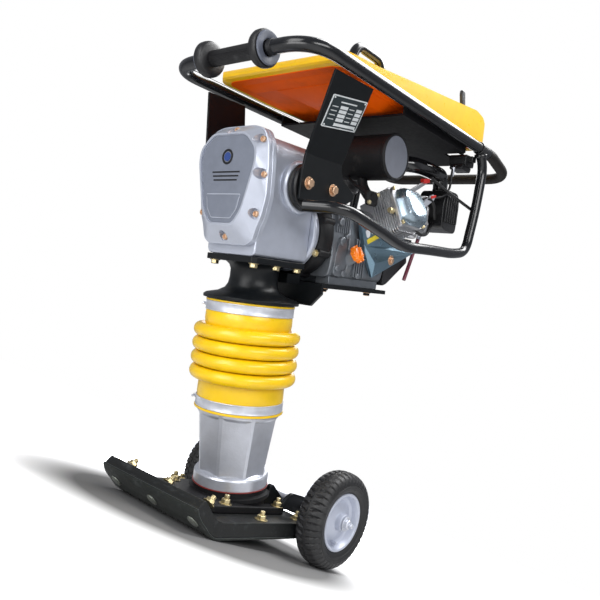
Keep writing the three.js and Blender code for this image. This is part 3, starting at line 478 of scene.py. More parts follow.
# ---- Foot --------------------------------------------------------------------------------------
SOLE = [(302, 9), (288, 2.5), (268, 0), (150, 0), (0, 0), (-18, 8), (-34, 22), (-47, 31), (-58, 42),
        (-65, 54)]
smooth_sole = rounded(SOLE, 14, 4)[4:-4]
smooth_sole = [SOLE[0]] + smooth_sole[1:-1] + [SOLE[-1]]


bm = new()
prism_x(bm, smooth_sole + inset(smooth_sole, 3.6)[::-1], -150, 150)
piece("sole_plate_steel", bm, FOOT, sole_steel, "foot", ["sole_plate"], bevel=1.0, slot="black_steel")
bm = new()
top_line = rounded([(-61, 60), (-49, 73), (-36, 62), (-20, 47), (-4, 36), (12, 32), (299, 32)], 12, 4)[2:-2]
prism_x(bm, inset(smooth_sole, 3.9) + [(-60.5, 57)] + top_line[3:] + [(299, 31)], -148.5, 148.5)
piece("shoe_board_body", bm, FOOT, board, "foot", ["shoe_board"], bevel=2.2, slot="shoe_board")
bm = new()
prism_x(bm, inset(smooth_sole, 3.3) + inset(smooth_sole, 4.2)[::-1], -149.4, 149.4)
piece("shoe_seam", bm, FOOT, edge_steel, "foot")

toe_dir = Vector((0, -0.63, -0.777)).normalized()
bm, heads = new(), new()
for x in (-122, 0, 122):
    p = Vector((x, -40, 26))
    lathe(heads, [(0, 1.4), (10.5, 1.4), (12, 0.4), (12.6, 1.0), (13.4, -1.5), (0, -1.5)],
          aim(p + toe_dir * 0.9, toe_dir), 32)
    hex_bolt(bm, p - toe_dir * 42, -toe_dir, 10, 8, washer=13, stud=5.5)
for x, y in ((81, 76), (85, 234), (-81, 76), (-85, 234)):
    hex_bolt(bm, (x, y, 47), (0, 0, 1), 10, 9, washer=13.5, stud=5.5)
for x, y in ((128, 140), (124, 262), (-128, 140), (-124, 262)):
    hex_bolt(bm, (x, y, 32.2), (0, 0, 1), 10, 8, washer=14, stud=5.5)
piece("toe_bolt_heads", heads, FOOT, toe_zinc, "foot", smooth=40)
piece("foot_nuts", bm, FOOT, zinc, "foot", bevel=0.4, segments=2)

leg_up = Vector((0, -math.sin(PITCH), math.cos(PITCH)))
bm = new()
prism_z(bm, rounded([(-96, 24), (96, 24), (96, 262), (-96, 262)], 26), 32.3, 47)
prism_z(bm, rounded([(-60, 200), (60, 200), (60, 290), (-60, 290)], 20), 32.3, 44)
piece("foot_plate_casting", bm, FOOT, cast_black, "foot", ["foot_casting"], bevel=2.2, slot="cast_black")
bm = new()
seat = aim((0, 159.5, 75.7), leg_up)
lathe(bm, [(0, -1), (80, -1), (80, -11), (88, -13), (88, -22), (80, -24), (80, -50), (0, -50)], seat, 96)
bmesh.ops.bisect_plane(bm, geom=bm.verts[:] + bm.edges[:] + bm.faces[:], plane_co=(0, 0, 46),
                       plane_no=(0, 0, -1),
                       clear_outer=True)
bmesh.ops.holes_fill(bm, edges=bm.edges[:])
piece("foot_seat_casting", bm, FOOT, cast_black, "foot", bevel=1.0)
bm = new()
for s in (-1, 1):
    prism_x(bm, rounded([(205, 46), (272, 46), (266, 62), (222, 92)], 10), s * 62 - 6, s * 62 + 6)
    arm = rounded([(226, 44), (262, 80), (322, 72), (332, 54), (320, 38), (286, 36), (258, 44)], 10)
    prism_x(bm, arm, s * 92 - 5, s * 92 + 5)
piece("axle_arms", bm, FOOT, plate_black, "foot", bevel=1.2)
bm = new()
lathe(bm, [(0, -1.2), (82.4, -1.2), (82.4, 0.2), (0, 0.2)], seat, 96)
piece("seat_gasket", bm, FOOT, seal_red, "foot")

bm = new()
across = aim((0, 313.2, 54.2), (1, 0, 0))
lathe(bm, [(0, -218), (10, -218), (10, 218), (0, 218)], across, 32)
for s in (-1, 1):
    m = aim((s * 122, 313.2, 54.2), (s, 0, 0))
    lathe(bm, [(0, 0), (14, 0), (14, 20), (0, 20)], m, 32)
    hex_bolt(bm, (s * 216, 313.2, 54.2), (s, 0, 0), 10.5, 8, washer=15, stud=5)
piece("axle_steel", bm, FOOT, steel, "foot", ["axle"], bevel=0.6, slot="steel")

# ---- Wheels ------------------------------------------------------------------------------------


def tread(a, r, z):
    """Blocks round the tread and ribs on the shoulders."""
    if r < 86:
        return r
    pitch = 2 * math.pi / 44
    edge = abs(z)
    stagger = 0.5 if z > 0 else 0.0
    phase = (a / pitch + stagger + (edge / 60 if edge < 20 else 0.33)) % 1
    if edge < 3:
        return r - 1.6
    groove = phase < 0.3
    depth = 3.4 if edge > 7 else 2.2
    return r - depth if groove else r


for name, side in SIDES:
    m = aim((side * 183.8, 313.2, 54.2), (side, 0, 0))
    bm = new()
    profile = [(61, -21), (66, -26), (72, -29.5), (80, -31), (87, -30.6), (92.5, -28.4), (97, -25),
               (100.4, -20),
               (102.6, -14), (103.6, -8), (103.9, -3.2), (103.9, -2.8), (103.9, 2.8), (103.9, 3.2),
               (103.6, 8),
               (102.6, 14), (100.4, 20), (97, 25), (92.5, 28.4), (87, 30.6), (84, 30.9), (83, 30.1),
               (81, 30.1),
               (80, 31), (74, 30), (73, 29), (71, 28.7), (66, 26), (61, 21), (61, -21)]
    lathe(bm, profile, m, 264, tread)
    piece("tyre_" + name + "_rubber", bm, FOOT, tyre_rubber, "wheel_" + name, ["tyre_" + name],
          slot="tyre_rubber", smooth=28)
    bm = new()
    profile = [(10.5, -26), (18, -26), (18, -6), (46, -9), (52, -24), (61, -25), (62.5, -23), (61, -21),
               (61, 21),
               (63, 23.5), (61.5, 26), (57.5, 25.6), (54.5, 22), (51, 11), (46, 7.5), (38, 8.5), (30, 13),
               (22, 15.5),
               (19, 17), (18, 30), (10.5, 30), (10.5, -26)]
    lathe(bm, profile, m, 96)
    piece("rim_" + name + "_disc", bm, FOOT, rim_paint, "wheel_" + name, ["rim_" + name], bevel=0.9,
          slot="rim_paint")
    bm = new()
    valve = m @ Vector((46, 0, 9))
    lathe(bm, [(0, 0), (3.4, 0), (3.0, 12), (0, 12)], aim(valve, (side, 0, 0)), 16)
    piece("rim_" + name + "_valve", bm, FOOT, rim_paint, "wheel_" + name, smooth=35)

# ---- Leg, bellows, bands -----------------------------------------------------------------------
bm = new()
OCTAGON = 1 / math.cos(math.pi / 8)
rings = []
for r, z in ((69 * OCTAGON, 20), (70 * OCTAGON, 42), (81 * OCTAGON, 146), (84.6 * OCTAGON, 158)):
    ring = []
    for i in range(8):
        a = math.pi / 8 + i * math.pi / 4
        nxt = a + math.pi / 4
        corner = Vector((math.cos(a), math.sin(a))) * r
        following = Vector((math.cos(nxt), math.sin(nxt))) * r
        for u in (0.06, 0.5, 0.94):
            p = corner.lerp(following, u)
            ring.append(bm.verts.new((p.x, p.y, z)))
    rings.append(ring)
skin(bm, rings)
lathe(bm, [(0, 0), (80.6, 0), (80.6, 21), (78, 25.6), (73, 26.5), (68, 31), (0, 31)], steps=96)
lathe(bm, [(0, 146), (84, 146), (88.6, 152), (88.6, 186), (0, 186)], steps=96)
piece("leg_casting", bm, LEG, leg_silver, "foot", ["lower_leg"], bevel=1.4, slot="silver_paint", smooth=20)
profile = [(92.6, 159), (95.9, 159), (96.6, 161.3), (95.9, 163.5), (92.6, 163.7), (92.6, 186), (93.6, 190),
           (93, 212)]
for i in range(4):
    z = 234.8 + i * 29.7
    for a in range(-140, 141, 14):
        profile.append((101.9 + 13.0 * math.cos(rad(a)), z + 14.0 * math.sin(rad(a))))
profile += [(92.6, 340), (94, 348), (93.6, 364), (92.6, 366), (92.6, 387.3), (95.6, 387.4), (96, 389.3),
            (95.4, 391), (92.6, 391)]
inner = [(89.2, 391), (89.2, 159)]
bm = new()
lathe(bm, profile + inner + [profile[0]], steps=120)
bellows = piece("bellows_yellow_rubber", bm, LEG, bellows_yellow, None, ["bellows"], slot="bellows_rubber",
                smooth=50)
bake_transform(bellows)

for name, body, z0, z1 in (("lower", "foot", 164, 184), ("upper", "upper", 367, 387)):
    bm = new()
    band = [(93.1, z0), (95, z0), (95.4, z0 + 1.6), (94.6, z0 + 3), (94.6, z1 - 3), (95.4, z1 - 1.6),
            (95, z1), (93.1, z1)]
    lathe(bm, band + [band[0]], steps=120)
    block(bm, -16, 12, -99, -94.6, z0 + 5, z1 - 5)
    lathe(bm, [(0, -26), (4.6, -26), (4.6, -18), (3, -18), (3, 20), (0, 20)],
          aim((0, -101, (z0 + z1) / 2), (1, 0, 0)), 20)
    piece("clamp_" + name, bm, LEG @ Matrix.Rotation(rad(-62), 4, "Z"), steel, body, ["band_" + name],
          bevel=0.5,
          slot="steel")

# ---- Neck and crankcase ------------------------------------------------------------------------
bm = new()
neck = [(36, 300), (65, 300), (65, 356), (84, 366), (89.2, 366), (89.2, 391.6), (96, 391.7), (96, 392.8),
        (103, 393.2),
        (103.4, 399), (98, 403), (74, 409), (60, 417), (54, 427), (52, 440), (52, 458), (56, 467),
        (64, 473), (36, 473), (36, 300)]
lathe(bm, neck, steps=96)
piece("neck_casting", bm, LEG, plate_black, "upper", ["guide_tube"], bevel=0.8, slot="black_steel")
bm = new()
prism_z(bm, [(-66.5, -80), (66.5, -80), (74.5, -72), (74.5, 74), (66.5, 82), (-66.5, 82), (-74.5, 74),
             (-74.5, -72)], 473, 485.4)
flange = piece("neck_flange", bm, LEG, plate_black, "upper")
bm = new()
lathe(bm, [(0, 465), (44, 465), (44, 495), (0, 495)], steps=64)
carve(flange, bm, LEG)
soften(flange, 1.2, 3, 30)
bm = new()
for x in (-58, 58):
    for y in (-64, 2, 70):
        hex_bolt(bm, (x, y, 473), (0, 0, -1), 8.5, 8, washer=11)
piece("neck_flange_bolts", bm, LEG, zinc, "upper", bevel=0.4, segments=2)

bm = new()
body_line = rounded([(-71.5, 485.7), (71.5, 485.7), (71.5, 700), (60, 730), (0, 741), (-60, 730),
                     (-71.5, 700)], 16, 5)
prism_y(bm, body_line, -78, 82)
case = piece("crankcase_body", bm, LEG, silver, "upper", ["crankcase"], slot="silver_paint")
bm = new()
block(bm, -62, 62, -70, 68, 496, 705)
carve(case, bm, LEG)
bm = new()
lathe(bm, [(0, 470), (44, 470), (44, 500), (0, 500)], steps=64)
carve(case, bm, LEG)
soften(case, 3.0, 3, 30)
COVER = [(44, 745), (73, 737), (88, 709), (94, 660), (97, 602), (88, 561), (80, 545), (71, 515), (56, 505)]
cover_line = [(-x, z) for x, z in COVER[::-1]] + COVER
bm = new()
prism_y(bm, rounded(cover_line, 12, 4), -80, -68)
for s in (-1, 1):
    lathe(bm, [(0, 0), (57, 0), (55, 8), (50, 11.5), (0, 11.5)], aim((s * 70.5, 30, 642), (s, 0, 0)), 72)
piece("crankcase_flange", bm, LEG, silver, "upper", bevel=1.6)
bm = new()
prism_y(bm, rounded(cover_line, 12, 4), -91.3, -80.3)
piece("cover_flange", bm, LEG, silver, "upper", ["crankcase_cover"], bevel=1.6, slot="silver_paint")
SCREWS = [(76, 714), (89, 645), (79, 568), (0, 520), (0, 735), (-76, 714), (-89, 645), (-79, 568)]
half = [(45, 722), (76, 694), (79, 668), (62, 600), (54, 573), (34, 545)]
face = rounded([(-x, z) for x, z in half[::-1]] + half, 12, 4)
bm = new()
for x, z in rounded(cover_line, 12, 3):
    bm.verts.new((x * 0.985, -90.8, 625 + (z - 625) * 0.985))
for x, z in face:
    bm.verts.new((x * 1.06, -116.3, 640 + (z - 640) * 1.05))
bmesh.ops.convex_hull(bm, input=bm.verts[:])
slope = piece("cover_slope", bm, LEG, silver, "upper")
bm = new()
prism_y(bm, face, -130, -112.8)
for x, z in SCREWS:
    lathe(bm, [(0, 0), (10.5, 0), (11.5, 40), (0, 40)], aim((x, -93.4, z), (0, -1, 0)), 32)
carve(slope, bm, LEG)
soften(slope, 0.9, 3, 28)
bm = new()
frame_line = [(-50, 603), (50, 603), (47, 596), (42, 574), (28, 556), (-28, 556), (-42, 574), (-47, 596)]
plate = [(x * 0.985, 640 + (z - 640) * 0.985) for x, z in face]
prism_y(bm, plate, -113.9, -112.4)
prism_y(bm, rounded(frame_line, 5), -115.0, -113.5)
piece("cover_panel", bm, LEG, panel, "upper", bevel=0.5)
bm = new()
prism_y(bm, rounded(inset(frame_line, -1.4), 5), -115.3, -114.2)
piece("cover_frame_line", bm, LEG, silver, "upper", bevel=0.3, segments=2)
bm = new()
prism_y(bm, rounded(inset(frame_line, 0.8), 4), -115.9, -114.4)
piece("cover_frame_field", bm, LEG, panel, "upper", bevel=0.4, segments=2)
bm = new()
for i in range(3):
    block(bm, -40 + i * 3, 40 - i * 3, -114.6, -113.4, 646 - i * 8, 649 - i * 8)
lathe(bm, [(11, 0), (15.5, 0), (15.5, 1.3), (11, 1.3), (11, 0)], aim((0, -113.6, 678), (0, -1, 0)), 40)
piece("cover_ribs", bm, LEG, cast_black, "upper", bevel=0.3, segments=2)
bm = new()
lathe(bm, [(0, 0), (9, 0), (9, 1.2), (0, 1.2)], aim((0, -113.6, 678), (0, -1, 0)), 40)
piece("cover_boss", bm, LEG, boss_blue, "upper")
bm = new()
for x, z in SCREWS:
    lathe(bm, [(0, 0), (6.4, 0), (6.4, 4.4), (5.4, 5.4), (3.4, 5.4), (3.4, 3), (0, 3)],
          aim((x, -93.3, z), (0, -1, 0)), 28)
piece("cover_screws", bm, LEG, copper, "upper", bevel=0.3, segments=2)

for name, s in SIDES:
    bm = new()
    profile = [(0, 12.3), (46, 12.3), (50, 15), (48, 18), (46.5, 22), (48, 27), (50, 30), (46, 33),
               (15, 33), (15, 38), (0, 38)]
    lathe(bm, profile, aim((s * 70.5, 30, 642), (s, 0, 0)), 64)
    piece("shock_rubber_" + name, bm, LEG, rubber, "upper", ["shock_mount_" + name], bevel=1.2,
          slot="rubber")

# ---- Engine ------------------------------------------------------------------------------------
BACK = (0, 1, 0)
BELL = aim((0, 0, 553), BACK)
FAN = aim((-8, 0, 548), BACK)
FILLER = aim((84, 205, 508), (0.9, 0, 0.42))
MUFFLER = aim((0, 266, 757), (1, 0, 0))
bm = new()
lathe(bm, [(40, 82.3), (83, 82.3), (87, 86), (87, 95), (84, 99), (40, 99), (40, 82.3)], BELL, 96)
piece("bell_ring", bm, LEG, silver, "upper", ["bell_housing"], bevel=1.0, slot="alloy")
bm = new()
lathe(bm, [(50, 99.5), (88, 99.5), (96, 106), (98, 114), (98, 130), (94, 139.6), (52, 139.6), (52, 112),
           (50, 99.5)],
      BELL, 96)
for a in range(20, 380, 45):
    c, s = math.cos(rad(a)), math.sin(rad(a))
    lathe(bm, [(0, 100), (9, 100), (9, 138), (0, 138)], aim((93 * c, 0, 553 + 93 * s), BACK), 20)
piece("clutch_bell", bm, LEG, cast_black, "upper", ["clutch_housing"], bevel=1.4, slot="cast_black")
bm = new()
for a in (-27, 40, 118, 200, 250):
    c, s = math.cos(rad(a)), math.sin(rad(a))
    hex_bolt(bm, (90 * c, 100, 553 + 90 * s), (0, -1, 0), 6.5, 5, washer=8.5)
piece("clutch_bolts", bm, LEG, zinc, "upper", bevel=0.4, segments=2)

bm = new()
case = rounded([(-78, 462), (88, 462), (96, 500), (92, 560), (74, 634), (-50, 640), (-84, 600), (-84, 500)],
               18, 5)
prism_y(bm, case, 140, 352)
prism_y(bm, rounded([(-70, 470), (92, 470), (101, 500), (97, 566), (80, 630), (-44, 634), (-76, 596),
                     (-76, 506)], 18, 5), 196, 214)
piece("engine_case", bm, LEG, engine_grey, "upper", ["engine_block"], bevel=3.0, slot="engine_grey")
bm = new()
for x0, x1 in ((-84, -48), (48, 86)):
    block(bm, x0, x1, 150, 344, 447.8, 466)
for i in range(7):
    y = 150 + i * 7.5
    block(bm, 60, 93.5, y, y + 3.0, 566, 628)
for i in range(5):
    block(bm, 84, 99, 224 + i * 9, 227 + i * 9, 470, 560)
for y, z, r in ((158, 590, 9), (170, 548, 10), (186, 560, 7), (160, 486, 8), (184, 476, 8), (240, 474, 7)):
    lathe(bm, [(0, 0), (r, 0), (r, 12), (r * 0.7, 14), (0, 14)], aim((88, y, z), (1, 0, 0)), 20)
prism_x(bm, rounded([(150, 470), (178, 466), (196, 500), (188, 548), (166, 560), (152, 520)], 8), 84, 97)
lathe(bm, [(0, 0), (20, 0), (17, 12), (16, 30), (0, 30)], FILLER, 40)
piece("engine_case_details", bm, LEG, engine_grey, "upper", bevel=1.0, segments=2)
bm = new()
for i in range(8):
    m = FILLER @ Matrix.Rotation(2 * math.pi * i / 8, 4, "Z")
    block(bm, 17, 20.6, -3.4, 3.4, 31, 41, m)
lathe(bm, [(0, 30.4), (18.5, 30.4), (18.5, 38), (15, 43), (9, 44.5), (0, 44.5)], FILLER, 48)
block(bm, -13, 13, -3, 3, 40, 49, FILLER)
piece("dipstick_cap", bm, LEG, orange_cap, "dipstick", ["oil_cap"], bevel=0.9, slot="orange_plastic")

# Cylinder axis, leaning up from the crankcase.
TILT = rad(25)
ALONG = Vector((math.cos(TILT), 0, math.sin(TILT)))
CYL = shift((0, 0, 578)) @ Matrix((
    (math.cos(TILT), 0, -math.sin(TILT), 0), (0, 1, 0, 0), (math.sin(TILT), 0, math.cos(TILT), 0),
        (0, 0, 0, 1)))
bm = new()
block(bm, 60, 154, 306, 370, -44, 50, CYL)
for i in range(9):
    prism(bm, rounded([(298, -54), (382, -54), (382, 60), (298, 60)], 12, 4), 2.4,
          CYL @ shift((96 + i * 6.4, 0, 0)) @ AX)
piece("cylinder_fins", bm, LEG, alloy, "upper", ["engine_cylinder"], bevel=0.5, segments=2, slot="alloy")
bm = new()
gasket = [(-58, -50), (-22, -47), (30, -50), (50, -42), (52, 0), (50, 44), (40, 57), (-46, 54), (-60, 34),
          (-56, -10)]
HEAD = CYL @ shift((0, 352, 4)) @ AX
prism(bm, rounded(gasket, 8, 4), 9, HEAD @ shift((0, 0, 154.6)))
piece("valve_cover_flange", bm, LEG, alloy, "upper", ["valve_cover"], bevel=1.2, slot="alloy")
bm = new()
dome = rounded([(-42, -32), (-20, -42), (34, -42), (46, -16), (46, 26), (30, 43), (-30, 44), (-46, 18)], 9,
               4)
steps = [(1.1, 163.2), (1.08, 168), (1.02, 178), (0.9, 186), (0.74, 189.5)]
rings = [[bm.verts.new(HEAD @ Vector((x * k, y * k, u))) for x, y in dome] for k, u in steps]
skin(bm, rings)
piece("valve_cover_dome", bm, LEG, chrome, "upper", bevel=1.2, smooth=24)
bm = new()
for x, y in ((-50, -42), (44, -40), (43, 47), (-50, 45)):
    hex_bolt(bm, HEAD @ Vector((x, y, 163.6)), ALONG, 5.5, 5)
hex_bolt(bm, (112, 228, 646), (1, 0, 0.1), 5.5, 6)
hex_bolt(bm, (112, 260, 668), (1, 0, 0.1), 5.5, 6)
hex_bolt(bm, HEAD @ Vector((-57, -10, 150)), (0, -1, 0.1), 7.5, 16)
piece("cylinder_bolts", bm, LEG, zinc, "upper", bevel=0.3, segments=2)

top_edge = [(104, 216, 606), (105.7, 286, 592), (109.3, 450, 562), (111.2, 238, 546)]
hull("shroud_upper", top_edge + [(97.4, y, z) for x, y, z in top_edge], shroud_blue, "upper",
     replaces=["engine_shroud"], slot="alloy", bevel=0.8, segments=2)
fold = [(111.2, 238, 546), (109.3, 450, 562), (117, 446, 550), (118, 279, 509), (103, 294, 475),
        (108, 244, 534)]
hull("shroud_lower", fold + [(97.4, y, z) for x, y, z in fold], shroud_blue, "upper", bevel=0.8, segments=2)
STICK = shift((109.9, 268, 567)) @ Matrix((
    Vector((0.03, 0.9, 0.43)).normalized(),
    Vector((-0.11, -0.42, 0.9)).normalized(),
    Vector((0.99, -0.04, 0.12)).normalized())).transposed().to_4x4()
bm = new()
block(bm, -34, 34, -7, 4, -0.6, 0.7, STICK)
piece("sticker_strip", bm, LEG, sticker, "upper", bevel=0.2)
bm = new()
lathe(bm, [(0, 0), (9, 0), (9, 1.3), (0, 1.3)], STICK @ shift((-14, 16, -0.8)), 32)
block(bm, 2, 26, 10, 14, -0.8, 0.6, STICK)
piece("sticker_disc", bm, LEG, inner_white, "upper")
bm = new()
lathe(bm, [(30, 353), (86, 353), (96, 360), (96, 424), (90, 440), (66, 456), (62, 462), (30, 462),
           (30, 353)], FAN, 96)
for i in range(18):
    m = FAN @ Matrix.Rotation(rad(20 * i), 4, "Z")
    block(bm, 36, 60, -2, 2, 460, 473, m)
lathe(bm, [(0, 460), (32, 460), (30, 474), (22, 480), (0, 480)], FAN, 64)
block(bm, 30, 68, 461, 478, 554, 580)
prism_x(bm, rounded([(354, 458), (372, 464), (458, 526), (450, 548), (400, 556), (354, 520)], 6, 4), 62, 95)
piece("fan_cover", bm, LEG, plastic, "upper", ["fan_housing"], bevel=1.0, slot="black_plastic")
dress("starter_handle", plastic, 2.0, 3)

bm = new()
can = [(0, -52), (47, -52), (52, -48), (53, -42), (53, 140), (54.2, 142), (54.2, 147), (52, 150),
       (48.5, 150), (47.5, 147.5), (0, 147.5)]
lathe(bm, can, MUFFLER, 96)
tube(bm, [(60, 262, 730), (66, 260, 690), (96, 250, 662), (114, 248, 658)], 12, 20, 28)
tube(bm, [(20, 250, 715), (60, 232, 690), (108, 230, 664)], 4, 14, 16)
prism_x(bm, rounded([(222, 640), (266, 640), (266, 674), (222, 674)], 9), 106, 112)
piece("muffler_can", bm, LEG, cast_black, "upper", ["muffler"], bevel=0.8, slot="cast_black")
bm = new()
lathe(bm, [(0, 147.6), (47.4, 147.6), (47.4, 148.6), (0, 148.6)], MUFFLER, 72)
piece("muffler_end", bm, LEG, end_cap, "upper")

bm = new()
prism_y(bm, rounded([(84, 612), (128, 612), (134, 640), (128, 668), (84, 668)], 8, 4), 410, 452)
block(bm, 88, 112, 383, 411, 624, 656)
lathe(bm, [(0, 588), (15, 588), (19, 592), (20, 600), (20, 613), (0, 613)], aim((108, 430, 0), (0, 0, 1)),
      40)
prism_y(bm, rounded([(78, 604), (140, 604), (140, 676), (78, 676)], 12, 4), 452, 460)
for x, y, z, r, h in ((128, 418, 656, 6, 14), (128, 438, 652, 9, 12), (130, 428, 628, 9, 12),
                      (126, 446, 626, 5, 16)):
    lathe(bm, [(0, 0), (r, 0), (r, h - 2), (r - 2, h), (0, h)], aim((x, y, z), (1, 0, 0)), 24)
tube(bm, [(134, 414, 640), (150, 418, 634), (150, 446, 628), (134, 450, 620)], 3, 8, 14)
tube(bm, [(110, 440, 668), (112, 440, 690), (124, 460, 700), (130, 480, 690)], 4, 8, 14)
piece("carburettor_body", bm, LEG, alloy, "upper", ["carburettor"], bevel=0.8, segments=2, slot="alloy")
bm = new()
prism_x(bm, rounded([(400, 632), (410, 600), (436, 596), (448, 622), (440, 664), (408, 676)], 10), 70, 83)
tube(bm, [(130, 426, 672), (144, 440, 694), (140, 480, 684), (120, 530, 652)], 4.5, 26, 16)
tube(bm, [(126, 420, 610), (138, 436, 598), (130, 480, 604), (112, 530, 640)], 4.5, 26, 16)
piece("carburettor_hoses", bm, LEG, rubber, "upper", bevel=0.8)
dress("choke_lever", steel, 0.6)
bm = new()
prism_x(bm, rounded([(452, 692), (474, 700), (474, 706), (452, 700)], 2.5, 3), 140.4, 147.5)
piece("choke_tip", bm, LEG, red, "choke", bevel=0.6)
bm = new()
prism_x(bm, rounded([(338, 682), (446, 740), (452, 732), (344, 672)], 2.5, 3), 127, 131)
prism_x(bm, rounded([(338, 684), (380, 704), (384, 694), (344, 672)], 2.5, 3), 118, 128)
piece("control_strip", bm, LEG, alloy, "upper", bevel=0.6)
bm = new()
prism_x(bm, rounded([(424, 738), (452, 744), (456, 734), (430, 727)], 2.5, 3), 124, 135)
piece("control_tip", bm, LEG, red, "upper", bevel=0.8)

bm = new()
prism_x(bm, rounded([(528, 628), (606, 620), (612, 700), (600, 730), (540, 732), (524, 700)], 18, 6), 66,
        144)
for i in range(6):
    block(bm, 143, 149, 534 + i * 12, 540 + i * 12, 646, 716)
for i in range(5):
    block(bm, 70, 140, 611, 615, 640 + i * 14, 645 + i * 14)
lathe(bm, [(0, 732), (22, 732), (22, 736), (0, 736)], aim((106, 566, 0), (0, 0, 1)), 40)
piece("air_box_shell", bm, LEG, plastic, "upper", ["air_box"], bevel=2.0, slot="black_plastic")
bm = new()
tube(bm, [(-59.4, 400, 772), (100, 400, 772), (104, 470, 776), (106, 560, 772), (106, 562, 735)], 20, 44,
     36, 14)
piece("elbow_hose", bm, LEG, gloss_hose, "upper", ["intake_elbow"], slot="rubber", smooth=40)
bm = new()
profile = [(0, 700), (52, 700), (58, 706), (58, 726), (56.5, 728), (58, 730), (58, 770), (56.5, 772),
           (58, 774), (58, 782), (54, 795), (40, 799), (0, 799)]
lathe(bm, profile, aim((-118, 400, 0), (0, 0, 1)), 72)
tube(bm, [(107, 460.3, 642), (107, 500, 642), (-118, 500, 654), (-118, 400, 664), (-118, 400, 704)], 14, 34,
     28)
piece("air_cleaner_can", bm, LEG, plastic, "upper", ["air_cleaner"], bevel=1.0, slot="black_plastic")
dress("engine_base", plate_black, 1.2)
dress("rear_bracket", plate_black, 1.4)
dress("drain_nipple", steel)
bm = new()
for x in (-66, 66):
    for y in (160, 334):
        hex_bolt(bm, (x, y, 438), (0, 0, -1), 7.5, 7, washer=10)
for y in (156, 338):
    hex_bolt(bm, (70, y, 466), (0, 0, 1), 7.5, 6, washer=10)
hex_bolt(bm, (132, 322, 522), (1, 0, 0), 6.5, 5, washer=12)
piece("engine_base_bolts", bm, LEG, copper, "upper", bevel=0.4, segments=2)

# ---- Handle ------------------------------------------------------------------------------------
bm = new()
tube(bm, [(200, 40, 0), (200, -124, 0), (-200, -124, 0), (-200, 40, 0)], 14, 84, 32, 16)
piece("front_bar_tube", bm, HANDLE, powder, "handle", ["front_bar"], slot="powder_coat", smooth=40)
bm = new()
half = [(625.4, 0), (650, 0), (775, -32)]
tube(bm, [(200, y, z) for y, z in half] + [(-200, y, z) for y, z in half[::-1]], 14.6, 92, 32, 16)
piece("rear_grip_sleeve", bm, HANDLE, grip_rubber, "handle", ["rear_grip"], slot="rubber", smooth=40)
BENDS = {
    "left": [(111.5, -8, 113, 706), (192.4, -44, 82, 853)],
    "right": [(111.5, -8, 113, 690), (185, -18, 104, 724), (190.5, -24, 92, 853)],
}

for name, s in SIDES:
    bm = new()
    tube(bm, [(s * 200, 39, 0), (s * 200, 625, 0)], 14, sides=32)
    piece("side_tube_" + name + "_steel", bm, HANDLE, powder, "handle", ["side_tube_" + name],
          slot="powder_coat", smooth=40)
    bm = new()
    path = [(120, 8, 600), (200, 42, 601), (200, 160, 577), (200, 268, 551), (200, 383, 557),
            (200, 514, 561),
            (200, 580, 572), (200, 604, 690), (200, 612, 800), (200, 577, 846)]
    tube(bm, [(s * x, y, z - 872 + 0.045 * y) for x, y, z in path], 12.6, 46, 28, 12)
    lathe(bm, [(15.5, -4), (17, -1), (16.5, 3), (14, 5), (14, -4), (15.5, -4)],
          aim((s * 200, 588, -16), (0, 0.25, -1)), 28)
    piece("guard_" + name + "_steel", bm, HANDLE, powder, "handle", ["guard_tube_" + name],
          slot="powder_coat", smooth=40)
    low = [(-14, 612), (118, 612), (168, 640), (168, 652), (122, 676), (113, 694), (113, 708), (-8, 708),
           (-14, 668)]
    bends = BENDS[name]
    bm = new()
    prism_x(bm, rounded([(y, min(z, bends[0][3] + 2)) for y, z in low], 5, 4), 109, 114)
    for (x0, f0, r0, z0), (x1, f1, r1, z1) in zip(bends, bends[1:]):
        sheet(bm, [(x0, f0, z0), (x0, r0, z0), (x1, r1, z1), (x1, f1, z1)], 5)
    side = Matrix.Scale(s, 4, (1, 0, 0))
    piece("side_plate_" + name + "_steel", bm, LEG @ side, plate_black, "handle", ["side_plate_" + name],
          bevel=0.9,
          slot="black_steel")
    bm = new()
    for y in (9, 90):
        hex_bolt(bm, (s * 114, y, 648), (s, 0, 0), 10, 8, washer=13)
    piece("side_plate_bolts_" + name, bm, LEG, copper, "handle", bevel=0.5, segments=2)


def ribs(a, r, z):
    return r - (0.9 if (r > 15 and (a * 20 / math.pi) % 1 < 0.4) else 0)


bm = new()
m = aim((0, -124, 0), (1, 0, 0))
lathe(bm, [(14.4, -64.7), (16.2, -64.7), (16.2, 64.7), (14.4, 64.7), (14.4, -64.7)], m, 160, ribs)
piece("roller_sleeve_rubber", bm, HANDLE, rubber, "front_roller", ["roller_sleeve"], slot="rubber",
      smooth=25)
for name, s in SIDES:
    m = aim((s * 79, -124, 0), (s, 0, 0))
    bm = new()
    profile = [(14.4, -14), (28, -14), (33, -11.5), (35.6, -6), (36, 0), (35.6, 6), (34.6, 8), (22, 9.5),
               (14.4, 9.5), (14.4, -14)]
    lathe(bm, profile, m, 72)
    piece("roller_ring_" + name + "_rubber", bm, HANDLE, rubber, "front_roller", ["roller_ring_" + name],
          slot="rubber", bevel=0.8)
    bm = new()
    lathe(bm, [(15.5, 9.6), (31.5, 9.6), (32.5, 11), (30.5, 13.8), (20, 14), (17, 12.5), (15.5, 9.6)], m,
          72)
    piece("roller_face_" + name, bm, HANDLE, ring_grey, "front_roller", bevel=0.4)
    bm = new()
    lathe(bm, [(14.05, 16), (15.2, 16.4), (15.2, 26), (14.05, 26.4), (14.05, 16)], m, 40)
    piece("roller_stop_" + name, bm, HANDLE, rubber, "handle")

